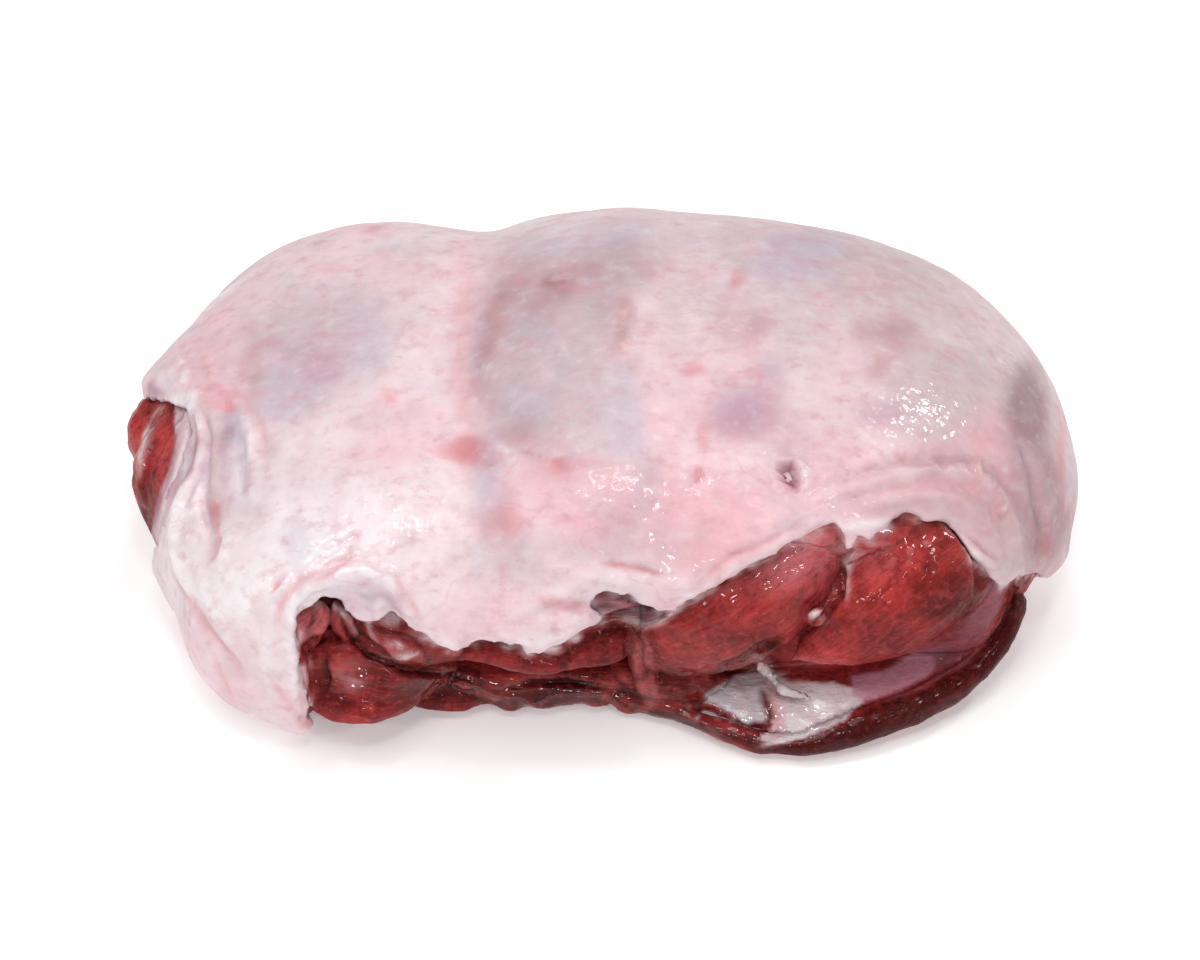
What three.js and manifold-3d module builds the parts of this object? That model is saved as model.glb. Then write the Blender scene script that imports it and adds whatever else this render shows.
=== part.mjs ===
// A boned leg of lamb, folded over so that its muscles show along one side.
// Millimetres. X runs along the joint, -Y is the open side, +Z is up, and the joint rests on Z = 0.
import * as THREE from "three";
import { mergeVertices } from "three/addons/utils/BufferGeometryUtils.js";
import Module from "manifold-3d";

// Driving sizes of the whole joint, fat included.
const LENGTH = 250;
const DEPTH = 146;
const HEIGHT = 84;
const FAT_THICKNESS = 4;
const FAT_HEM = 4;
const TISSUE_GAP = 0.6;

// The body: a cushion with a squared plan, cut flat where it rests.
const CENTRE_Y = 8;
const PLAN_POWER = 2.7;
const CROWN_POWER = 2.35;
const BELLY_POWER = 3;
const WIDEST_HEIGHT = 28;
const BELLY_DEPTH = 36;

// Where the plan swells or draws in: azimuth and spread in degrees, size in millimetres.
const PLAN_SWELLS = [
  { azimuth: -160, spread: 10, swell: -7 },
  { azimuth: -143, spread: 15, swell: 13 },
  { azimuth: -80, spread: 28, swell: -5 },
  { azimuth: -18, spread: 10, swell: -4 },
  { azimuth: 15, spread: 12, swell: -3 },
  { azimuth: 82, spread: 22, swell: 3 },
  { azimuth: 117, spread: 9, swell: -3 },
  { azimuth: 138, spread: 16, swell: 8 },
  { azimuth: 162, spread: 9, swell: -4 },
];

// Edge of the fat round the open side, as x and z seen from the front, and the depth to which
// the body under it is cut away.
const OPEN_EDGE = [
  [-74, -9], [-72, 20], [-74, 46], [-68, 54], [-50, 55], [-36, 41], [-25, 45], [-17, 38], [0, 46],
  [22, 51], [40, 62], [57, 66], [64, 62], [75, 64], [88, 58], [97, 42], [106, 32], [128, 24], [130, -9],
];
const OPEN_FACE_Y = -41;

// Edge of the fat round the opening at the shank end, as y and z seen from that end.
const SHANK_EDGE = [[-14, 8], [-20, 18], [-8, 36], [8, 54], [20, 56], [32, 46], [28, 26], [8, 12]];
const SHANK_FACE_X = -100;

// Muscles of the open side. Each path point is x, y, z and the half height there, and
// spread is the muscle's half width over its half height.
const MUSCLES = {
  leftLobe: { spread: 1, path: [[-75, -45, 20, 15], [-60, -48, 18, 16], [-38, -46, 13, 10]] },
  leftKnob: { spread: 0.8, path: [[-72, -36, 46, 10], [-68, -48, 39, 12]] },
  leftStrap: { spread: 0.9, path: [[-64, -40, 46, 10], [-48, -46, 34, 9], [-30, -46, 24, 8]] },
  middleBand: { spread: 0.9, path: [[-38, -43, 30, 11], [-14, -45, 27, 12], [12, -43, 32, 15]] },
  lowerBand: { spread: 1, path: [[-50, -44, 9, 9], [-16, -44, 7, 7], [12, -44, 9, 9]] },
  roll: {
    spread: 0.9,
    path: [[6, -38, 24, 15], [28, -42, 30, 17], [46, -38, 42, 17], [58, -28, 54, 13]],
  },
  tongue: {
    spread: 0.8,
    path: [[49, -47, 20, 7], [64, -44, 30, 17], [82, -36, 40, 22], [98, -24, 44, 18]],
  },
  flap: {
    spread: 1.9,
    path: [
      [8, -34, 8, 7], [30, -47, 7, 7], [50, -53, 7, 8],
      [72, -46, 8, 8], [94, -30, 12, 9], [106, -12, 24, 10],
    ],
  },
};

// Muscle ends that show through the opening at the shank end.
const SHANK_MUSCLES = {
  outerSliver: { spread: 0.8, path: [[-104, 26, 46, 6], [-115, 18, 34, 10], [-112, 8, 20, 7]] },
  innerSliver: { spread: 0.8, path: [[-104, 14, 52, 5], [-114, 2, 36, 8], [-110, -12, 16, 6]] },
};

const LEAN = { color: 0x8c2a2c, roughness: 0.35, metalness: 0 };
const FAT = { color: 0xe3ccd0, roughness: 0.45, metalness: 0 };
const DEGREE = Math.PI / 180;

const wasm = await Module();
wasm.setup();

const { smoothstep, euclideanModulo } = THREE.MathUtils;
const bump = (value, centre, width) => Math.exp(-(((value - centre) / width) ** 2));
const turnBetween = (a, b) => euclideanModulo(a - b + 180, 360) - 180;

// Height of the crown under the fat: thick rump end, valley, thinner shank end.
function crownHeight(x) {
  const shankDrop = 9 * (1 - smoothstep(x, -70, 10));
  const valley = 4 * bump(x, -34, 15) + 1.5 * bump(x, 22, 9);
  return HEIGHT - FAT_THICKNESS - shankDrop - valley;
}

// Middle of the plan, which swings back towards the shank end.
const centreLine = (x) => CENTRE_Y + 4 * (1 - smoothstep(x, -120, -10));

function planRadius(azimuth) {
  const a = LENGTH / 2 - FAT_THICKNESS;
  const b = DEPTH / 2 - FAT_THICKNESS;
  const squared =
    Math.abs(Math.cos(azimuth) / a) ** PLAN_POWER + Math.abs(Math.sin(azimuth) / b) ** PLAN_POWER;
  const swell = PLAN_SWELLS.reduce(
    (sum, s) => sum + s.swell * bump(turnBetween(azimuth / DEGREE, s.azimuth), 0, s.spread), 0);
  return squared ** (-1 / PLAN_POWER) + swell;
}

// A point of the skin under the fat. polar is 0 at the top and PI underneath.
function skinPoint(polar, azimuth) {
  const up = Math.cos(polar);
  const power = up > 0 ? CROWN_POWER : BELLY_POWER;
  const radius = planRadius(azimuth) * Math.abs(Math.sin(polar)) ** (2 / power);
  const x = radius * Math.cos(azimuth);
  const y = centreLine(x) + radius * Math.sin(azimuth);
  const reach = up > 0 ? crownHeight(x) - WIDEST_HEIGHT : -BELLY_DEPTH;
  return new THREE.Vector3(x, y, Math.max(0, WIDEST_HEIGHT + reach * Math.abs(up) ** (2 / power)));
}

function skinNormal(polar, azimuth) {
  const step = 0.02;
  if (polar <= step) return new THREE.Vector3(0, 0, 1);
  const down = skinPoint(polar + step, azimuth).sub(skinPoint(polar - step, azimuth));
  const round = skinPoint(polar, azimuth + step).sub(skinPoint(polar, azimuth - step));
  return down.cross(round).normalize();
}

// The polar angle at which the skin has come down to a height.
function polarAt(height, azimuth) {
  let above = 0;
  let below = Math.PI;
  for (let i = 0; i < 20; i++) {
    const middle = (above + below) / 2;
    if (skinPoint(middle, azimuth).z > height) above = middle;
    else below = middle;
  }
  return above;
}

// A closed skin laid out by pointAt(turn, descent), both 0 to 1: once round, and from pole to pole.
function wrap(columns, rows, pointAt) {
  const geometry = new THREE.SphereGeometry(1, columns, rows);
  const place = geometry.getAttribute("position");
  for (let row = 0; row <= rows; row++) {
    for (let column = 0; column <= columns; column++) {
      const i = row * (columns + 1) + column;
      place.setXYZ(i, ...pointAt((column % columns) / columns, row / rows));
    }
  }
  return geometry;
}

// The fat before its openings are cut: a layer over the skin, from the crown down to its hem.
// grow widens it on every side, for cutting room for it.
function fatLayer(grow) {
  const rings = 15;
  const rows = 2 * rings + 1;
  return wrap(72, rows, (turn, descent) => {
    const row = Math.round(descent * rows);
    const azimuth = turn * 2 * Math.PI;
    const polar = (polarAt(FAT_HEM - grow, azimuth) * Math.min(row, rows - row)) / rings;
    const lift = row <= rings ? FAT_THICKNESS + grow : TISSUE_GAP - grow;
    return skinPoint(polar, azimuth).addScaledVector(skinNormal(polar, azimuth), lift);
  });
}

// A block that stands out towards -Y from y = 0. Its outline is a clockwise edge of [x, z]
// pairs, moved outwards by grow.
function openingBlock(edge, grow) {
  const corners = edge.map(([x, z]) => new THREE.Vector2(x, z));
  const moved = corners.map((corner, i) => {
    const along = corners[(i + 1) % corners.length].clone().sub(corners.at(i - 1)).normalize();
    return corner.clone().add(new THREE.Vector2(-along.y, along.x).multiplyScalar(grow));
  });
  const shape = new THREE.Shape(moved);
  return new THREE.ExtrudeGeometry(shape, { depth: LENGTH, bevelEnabled: false }).rotateX(Math.PI / 2);
}

const openSide = (grow) => solidOf(openingBlock(OPEN_EDGE, grow).translate(0, OPEN_FACE_Y, 0));

function shankOpening(grow) {
  const block = openingBlock(SHANK_EDGE, grow).rotateZ(Math.PI / 2);
  return solidOf(block.translate(SHANK_FACE_X - LENGTH, 0, 0));
}

// A muscle: rounded at both ends, elliptical across its path and flat where it rests.
function muscle({ path, spread }) {
  const spine = new THREE.CatmullRomCurve3(path.map(([x, y, z]) => new THREE.Vector3(x, y, z)));
  const girth = new THREE.SplineCurve(path.map((point, i) => new THREE.Vector2(i, point[3])));
  const up = new THREE.Vector3(0, 0, 1);
  return wrap(18, 13, (turn, descent) => {
    const along = (1 - Math.cos(Math.PI * descent)) / 2;
    const radius = girth.getPoint(along).y * Math.abs(Math.sin(Math.PI * descent)) ** 0.6;
    const forward = spine.getTangent(along);
    const side = new THREE.Vector3().crossVectors(up, forward).normalize();
    const rise = new THREE.Vector3().crossVectors(forward, side);
    const point = spine
      .getPoint(along)
      .addScaledVector(rise, radius * Math.cos(turn * 2 * Math.PI))
      .addScaledVector(side, radius * spread * Math.sin(turn * 2 * Math.PI));
    return point.setZ(Math.max(0, point.z));
  });
}

function solidOf(geometry) {
  geometry.deleteAttribute("normal");
  geometry.deleteAttribute("uv");
  const merged = mergeVertices(geometry, 1e-3);
  const vertProperties = new Float32Array(merged.getAttribute("position").array);
  const triVerts = new Uint32Array(merged.getIndex().array);
  return new wasm.Manifold(new wasm.Mesh({ numProp: 3, vertProperties, triVerts }));
}

function geometryOf(solid) {
  const { vertProperties, triVerts } = solid.getMesh();
  const geometry = new THREE.BufferGeometry();
  geometry.setAttribute("position", new THREE.BufferAttribute(vertProperties, 3));
  geometry.setIndex(new THREE.BufferAttribute(triVerts, 1));
  return geometry;
}

function fatCover() {
  return solidOf(fatLayer(0)).subtract(openSide(TISSUE_GAP / 2)).subtract(shankOpening(TISSUE_GAP / 2));
}

// The room that the lean leaves for the fat.
function fatRoom() {
  return solidOf(fatLayer(TISSUE_GAP / 2)).subtract(openSide(0)).subtract(shankOpening(0));
}

function leanMeat() {
  const body = wrap(64, 24, (turn, descent) => skinPoint(descent * Math.PI, turn * 2 * Math.PI));
  const muscles = [...Object.values(MUSCLES), ...Object.values(SHANK_MUSCLES)].map(muscle);
  const fused = muscles.reduce(
    (solid, geometry) => solid.add(solidOf(geometry)), solidOf(body).subtract(openSide(0)));
  const pieces = fused.subtract(fatRoom()).decompose();
  return pieces.sort((a, b) => b.volume() - a.volume())[0];
}

function piece(name, solid, finish) {
  const mesh = new THREE.Mesh(geometryOf(solid), new THREE.MeshStandardMaterial(finish));
  mesh.name = name;
  return mesh;
}

const leg = new THREE.Group();
leg.add(piece("lean_meat", leanMeat(), LEAN));
leg.add(piece("fat_cover", fatCover(), FAT));

// The origin is under the middle of the joint.
const middle = new THREE.Box3().setFromObject(leg).getCenter(new THREE.Vector3());
leg.position.set(-middle.x, -middle.y, 0);

export default leg;
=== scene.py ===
"""A raw boned leg of lamb: muscles under a sheet of fat, on a pale floor.

Shapes are worked out in millimetres, in the coordinates that the CAD part's sizes are in, and
are moved to the frame and made metres when a mesh is made. Marks on the surfaces, such as the
cut edge of the fat or a spot of colour, are placed by pixels of the photograph: each lies where
its camera sees that pixel.
"""
import itertools
import math

import bpy
import numpy as np
import openvdb
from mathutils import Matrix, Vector


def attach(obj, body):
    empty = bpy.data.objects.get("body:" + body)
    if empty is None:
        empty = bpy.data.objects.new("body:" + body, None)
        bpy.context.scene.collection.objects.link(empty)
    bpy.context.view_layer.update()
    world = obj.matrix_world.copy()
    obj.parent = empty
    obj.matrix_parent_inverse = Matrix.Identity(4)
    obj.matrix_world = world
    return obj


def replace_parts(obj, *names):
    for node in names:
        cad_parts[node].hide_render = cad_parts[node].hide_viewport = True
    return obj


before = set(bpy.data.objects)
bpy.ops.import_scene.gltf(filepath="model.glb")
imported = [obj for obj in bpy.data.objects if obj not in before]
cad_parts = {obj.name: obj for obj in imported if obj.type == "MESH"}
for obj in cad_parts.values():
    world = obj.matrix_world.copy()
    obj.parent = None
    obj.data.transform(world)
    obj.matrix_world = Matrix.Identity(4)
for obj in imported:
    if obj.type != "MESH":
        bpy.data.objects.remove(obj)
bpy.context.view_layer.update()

# ---------------------------------------------------------------- sizes, in millimetres and degrees
LENGTH, DEPTH, HEIGHT = 250, 146, 84
FAT_THICKNESS = 4
FAT_HEM = 1.5
TISSUE_GAP = 0.4
PLAN_POWER, CROWN_POWER, BELLY_POWER = 2.7, 2.35, 3
WIDEST_HEIGHT, BELLY_DEPTH = 28, 36

# the middle of the plan, and how far it lies back and the crown drops toward the shank
CENTRE_Y = 8
SHANK_SET_BACK = 4
SHANK_DROP = 9

# from the part's coordinates to the frame's
FRAME_SHIFT = np.array((-0.24, -8.3, 0))
MM_PER_METRE = 1000

# spacing of the points that the shapes are sampled at, and the share of the faces that is kept
STEP = 0.9
FAT_FACES_KEPT, LEAN_FACES_KEPT = 0.5, 0.6

# the camera, the photograph's frame in pixels, and one pixel's size at the camera's target
VIEW_ELEVATION = 50
VIEW_DISTANCE = 742
VIEW_TARGET = np.array((0, 4, 30))
LENS, SENSOR = 85, 36
PHOTO_WIDTH, PHOTO_HEIGHT = 1200, 960
PIXEL = VIEW_DISTANCE * SENSOR / LENS / PHOTO_WIDTH

# azimuth, spread and size of each place where the plan swells or draws in
PLAN_SWELLS = [
    (-160, 10, -7), (-143, 15, 13), (-80, 28, -5), (-18, 10, -4), (15, 12, -3),
    (82, 22, 3), (117, 9, -3), (138, 16, 8), (162, 9, -4),
]

# x, spread and depth of each valley across the crown
CROWN_VALLEYS = [(-34, 15, 4), (22, 9, 1.5)]

# front outline of the hollow that the open side's muscles lie in, as x and z
HOLLOW_EDGE = [
    (-74, -9), (-72, 20), (-74, 46), (-68, 54), (-50, 55), (-36, 41), (-25, 45), (-17, 38), (0, 46),
    (22, 51), (40, 62), (57, 66), (64, 62), (75, 64), (88, 58), (97, 42), (106, 32), (128, 24), (130, -9),
]
HOLLOW_FACE_Y = -41

# edge of the fat round the opening at the shank end, as y and z
SHANK_EDGE = [(-14, 8), (-20, 18), (-12, 34), (2, 46), (12, 46), (24, 36), (26, 24), (8, 12)]
SHANK_FACE_X = -100
SHANK_REACH = 8

# the open side's edge is cut into the fat in front of this, and the muscles lie in front of that
OPEN_SIDE_Y = 10
MUSCLES_Y, MUSCLES_X = -10, -92

# how far the shapes round into each other where they meet
SHEET_BLEND, EDGE_BLEND, HEM_BLEND = 0.8, 1.2, 1.6
HOLLOW_BLEND, BASE_BLEND, MUSCLE_BLEND, REST_BLEND, SKIN_BLEND = 3, 2, 0.9, 1.5, 0.4

# height, size and seed of each layer of noise, in millimetres
WANDER_ACROSS = [(2.2, 15, 3), (0.8, 4.5, 5)]
WANDER_UP = [(2.2, 15, 8), (0.8, 4.5, 9)]
EDGE_WAVES = [(0.8, 9, 1)]
EDGE_TEARS = [(0.6, 3.4, 2), (0.35, 1.8, 7)]
HEM_WAVES = [(0.8, 11, 6)]
FAT_WAVES = [(0.25, 9, 21), (0.1, 3.5, 22)]
LEAN_LUMPS = [(0.45, 7, 41), (0.3, 3, 42)]
AREA_LUMPS = [(1, 3.6, 45), (0.6, 1.9, 46)]

# gains of lift and of strength for the fat's lines that start left of a pixel, and for the others
SHANK_LINES_END = 430
SHANK_LINE_GAINS, LINE_GAINS = (2, 1.7), (1.5, 1.35)
LINE_STRONGEST = 0.95

# gain of strength for the fat's spots, and the colours that it leaves alone
SPOT_GAIN, SPOT_STRONGEST = 1.42, 0.97
PALE_COLOURS = ("white", "cream", "lilac", "blush", "shell")

# ---------------------------------------------------------------- pixels of the photograph


def place(x, y):
    """A pixel's place, in millimetres across and up from the camera's target."""
    return round((x - PHOTO_WIDTH / 2) * PIXEL, 1), round((PHOTO_HEIGHT / 2 - y) * PIXEL, 1)


def places(pixels):
    return [place(x, y) for x, y in pixels]


def drawn(rows):
    """Rows that end with the pixels along a line or an outline, with those made places."""
    return [(*values, places(pixels)) for *values, pixels in rows]


def drawn_lines(rows):
    """Rows of lines, with their widths too made millimetres from pixels."""
    return [(round(width * PIXEL, 1), *values) for width, *values in drawn(rows)]


def bolder(rows):
    """Lines of the fat raised and coloured more than their rows say, most at the shank end."""
    made = []
    for width, lift, name, strength, pixels in rows:
        lift_gain, strength_gain = SHANK_LINE_GAINS if pixels[0][0] < SHANK_LINES_END else LINE_GAINS
        strength = round(min(LINE_STRONGEST, strength_gain * strength), 2)
        made.append((width, round(lift_gain * lift, 1), name, strength, pixels))
    return made


def stronger(rows):
    """Spots coloured more than their rows say, apart from the palest colours."""
    made = []
    for *spot, name, strength in rows:
        if name not in PALE_COLOURS:
            strength = round(min(SPOT_STRONGEST, SPOT_GAIN * strength), 2)
        made.append((*spot, name, strength))
    return made


def lying(rows):
    """A muscle's rows, made from the pixel that the camera sees each point at and its height."""
    tilt = math.radians(VIEW_ELEVATION)
    forward = np.array((0, math.cos(tilt), -math.sin(tilt)))
    upward = np.array((0, math.sin(tilt), math.cos(tilt)))
    eye = VIEW_TARGET - VIEW_DISTANCE * forward
    made = []
    for x, y, height, half_height in rows:
        climb = (PHOTO_HEIGHT / 2 - y) * PIXEL * upward
        ray = VIEW_DISTANCE * forward + climb + ((x - PHOTO_WIDTH / 2) * PIXEL, 0, 0)
        point = eye + ray * (height - eye[2]) / ray[2]
        made.append((*(round(float(part), 1) for part in point), half_height))
    return made


def spots(rows):
    """Rows that start with a spot's centre, half width and half height in pixels, made millimetres."""
    return [
        (*place(x, y), round(half_width * PIXEL, 1), round(half_height * PIXEL, 1), *values)
        for x, y, half_width, half_height, *values in rows
    ]


# edge of the fat at the shank end
SHANK_FRONT_EDGE = places([
    (90, 392), (140, 398), (158, 402), (172, 404), (186, 412), (191, 428), (187, 448), (176, 476),
    (166, 503), (161, 530), (156, 546), (146, 556), (90, 560),
])

# edge of the fat round the open side
FAT_EDGE = places([
    (314, 760), (318, 728), (309, 713), (306, 690), (304, 665), (301, 650), (299, 632), (301, 616),
    (310, 605), (323, 599), (336, 602), (344, 612), (356, 620), (368, 622), (381, 617), (390, 611),
    (400, 618), (412, 628), (425, 636), (440, 645), (455, 652), (466, 645), (480, 640), (500, 640),
    (515, 646), (530, 653), (545, 650), (562, 644), (577, 636), (592, 628), (608, 618), (596, 612),
    (584, 604), (590, 597), (605, 592), (625, 597), (645, 606), (662, 612), (680, 608), (700, 599),
    (715, 589), (730, 577), (745, 568), (760, 560), (775, 553), (790, 543), (805, 535), (820, 526),
    (835, 520), (842, 532), (845, 548), (848, 564), (852, 550), (859, 536), (870, 541), (876, 532),
    (886, 530), (893, 519), (905, 513), (925, 520), (945, 523), (955, 533), (965, 548), (978, 563),
    (990, 576), (1001, 588), (1012, 584), (1020, 576), (1034, 574), (1050, 578), (1110, 580),
    (1110, 800), (300, 800),
])

# ---------------------------------------------------------------- muscles

# name: (half width over half height, [(x, y, z, half height) along the muscle]), or with lying,
# the rows are the pixel where a point is seen, its height and the muscle's half height
MUSCLES = {
    "left_lobe": (1, [(-75, -45, 20, 14), (-60, -48, 19.5, 14.5), (-38, -46, 15, 9)]),
    "left_knob": (0.9, [(-73.4, -50.8, 31, 3.6), (-71.6, -51.4, 40.9, 4.6), (-68.2, -49.9, 46.3, 4.4)]),
    "knob_ridge": (0.9, [(-65, -48.1, 46.2, 2.6), (-64.1, -49.4, 39.9, 3), (-61.8, -49.5, 31.5, 2.8),
        (-55.8, -52.9, 29, 2.4)]),
    "left_strap": (0.9, [(-64, -40, 46, 10), (-48, -46, 34, 9), (-30, -46, 24, 8)]),
    "strap_edge": (0.8, [(-60.3, -48, 39.8, 2.6), (-53.8, -52.1, 36.9, 3.4), (-46.7, -53.8, 33.4, 3.2),
        (-38.7, -46, 16.6, 2.6)]),
    "middle_band": (0.9, [(-38, -42, 31, 10), (-14, -44, 29, 11), (12, -43, 33, 14)]),
    "band_left": (0.9, [(-37.1, -50.5, 25.8, 2.4), (-29.5, -50.8, 28.6, 3.2), (-21.1, -53.4, 29.5, 3.6),
        (-12.9, -54.5, 28.4, 3.2), (-7, -54.1, 26.3, 2.6)]),
    "band_right": (0.9, [(-11, -54.2, 28.2, 3.2), (-3, -52.6, 30.9, 4.6), (3.9, -50.2, 32, 5),
        (6.4, -47.7, 33.5, 3.6)]),
    "fascia_fold": (0.8, [(6.8, -47.4, 36.4, 2), (8.7, -50.1, 29.4, 2.4), (11.2, -45.3, 9.9, 2.8),
        (17.8, -48.1, 6.5, 2.4)]),
    "lower_band": (1, [(-50, -44, 9, 8.5), (-16, -44, 7, 6.5), (12, -44, 9, 9)]),
    "scrap_a": (1, lying([(424, 692, 9, 1.8), (440, 686, 10, 2.6), (456, 690, 9, 1.8)])),
    "scrap_b": (1, lying([(452, 684, 12, 1.6), (466, 680, 12, 2.6), (484, 686, 10, 1.8)])),
    "scrap_c": (1, lying([(492, 700, 5, 1.6), (508, 700, 5, 2.8), (524, 704, 4, 2)])),
    "scrap_d": (1, lying([(514, 690, 8, 1.8), (528, 694, 7, 2.6), (546, 700, 5, 2.2),
        (560, 700, 4, 1.4)])),
    "scrap_e": (1, lying([(576, 692, 6, 1.4), (592, 698, 5, 2.2), (610, 702, 4, 1.8)])),
    "scrap_f": (1, lying([(610, 696, 6, 1.6), (626, 704, 4, 2.2), (648, 710, 3, 1.6)])),
    "scrap_g": (1, lying([(402, 698, 7, 2.8), (430, 696, 6.5, 3.8), (462, 696, 6, 3.8),
        (490, 698, 6, 3)])),
    "roll": (0.9, [(4, -39, 23, 14), (22, -41, 29, 16.5), (41, -38.5, 42, 18), (58, -30, 54, 17)]),
    "roll_base": (1, [(2, -42, 11, 9), (19, -44, 10, 8), (33, -45, 8, 5)]),
    "seam_lump": (1, [(55.4, -49.8, 45.7, 1.2), (53.4, -51.7, 44.1, 2.2), (51.5, -52.9, 42.1, 1.4)]),
    "white_cord": (1.2, [(38, -57, 34.5, 0.7), (40.7, -55.8, 28.2, 1), (44.2, -49, 14, 0.8),
        (47.1, -53.2, 14.7, 1.3), (51.1, -54.5, 14.8, 0.9), (55.4, -58, 14.4, 0.6)]),
    "rim_root": (1, lying([(606, 690, 7, 3.5), (640, 697, 6, 3.8), (672, 703, 6, 4.5),
        (700, 708, 5, 4)])),
    "tongue": (0.8, [(49, -48, 22, 6), (64, -44, 32.5, 14), (82, -36, 43, 18), (97, -25, 47, 15)]),
    "rim": (0.9, lying([(640, 704, 5, 2.6), (672, 712, 5.5, 3.6), (706, 724, 5.5, 4),
        (738, 736, 5.2, 3.6), (770, 744, 4.6, 3), (806, 744, 5, 3.4), (850, 729, 6.5, 4.6),
        (902, 712, 7.5, 4.8), (947, 690, 9, 4.8), (985, 660, 12, 4.6), (1008, 628, 17, 4.6),
        (1019, 604, 25, 4.6), (1017, 588, 33, 4.4)])),
    "shelf": (2.4, lying([(668, 690, 5, 2.5), (710, 692, 6, 4.2), (760, 697, 6.2, 4.8),
        (820, 698, 6.4, 5.2), (880, 680, 7, 5.4), (934, 654, 8.5, 5.4), (976, 616, 14, 5),
        (999, 600, 21, 5), (1008, 588, 29, 4.4)])),
    "outer_sliver": (0.8, [(-104, 26, 46, 6), (-115.8, 18, 34, 10), (-113, 8, 20, 7)]),
    "inner_sliver": (0.8, [(-104, 14, 52, 5), (-114.2, 2, 36, 8), (-111.5, -12, 16.5, 6.5)]),
}

# hollows cut into the muscles, given in the same way
CARVINGS = {
    "gap_by_tongue": (1, [(92.1, -41, 54.4, 1.2), (94.3, -42.1, 50.7, 3.2), (96, -42.6, 45.4, 3.6),
        (95.4, -45.2, 42.5, 2), (92.6, -47.5, 38.2, 1.4)]),
    "gap_depth": (1, [(94.5, -40.2, 48, 2.6), (96.5, -40.5, 42.7, 3.2)]),
    "cavity": (1, [(26, -47.4, 10.9, 1.2), (31, -55.9, 27.6, 1.8), (37, -56, 33.2, 2.4),
        (42, -54.7, 35.4, 3.4), (45.3, -53.7, 37.8, 2.6)]),
    "cavity_depth": (1, [(40.7, -53.2, 32.2, 2.6), (44.7, -52.1, 34.5, 3)]),
}

# ---------------------------------------------------------------- colours, 0 to 255
COLOURS = {
    "cream": (245, 227, 230), "shell": (241, 219, 222), "pink": (238, 196, 204),
    "rose": (234, 168, 172), "red": (196, 88, 92), "grey": (207, 186, 194),
    "slate": (194, 182, 196), "purple": (188, 150, 168), "brown": (182, 142, 144),
    # the last colour on the next line, a darker grey, is painted shade: it is laid on the fat's right
    # side, on the crown, in hollows and in creases
    "white": (253, 249, 251), "lilac": (236, 224, 231), "dusk": (150, 124, 128),
    "beige": (207, 186, 186), "blush": (232, 206, 208), "wine": (110, 30, 40),
    "meat": (150, 46, 46), "bright": (204, 66, 64), "pale_meat": (234, 134, 142),
    # the last colour on the next line, a near-black, is painted shade, laid in grooves, recesses and
    # crevices between muscles
    "dark_meat": (84, 16, 14), "wine_meat": (66, 10, 9), "deep": (28, 3, 3),
    "fascia": (200, 116, 116), "silver": (242, 246, 254), "tissue": (252, 240, 244),
    "plum": (216, 156, 176), "plum_dark": (150, 86, 98), "umber": (148, 110, 120),
}
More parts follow.
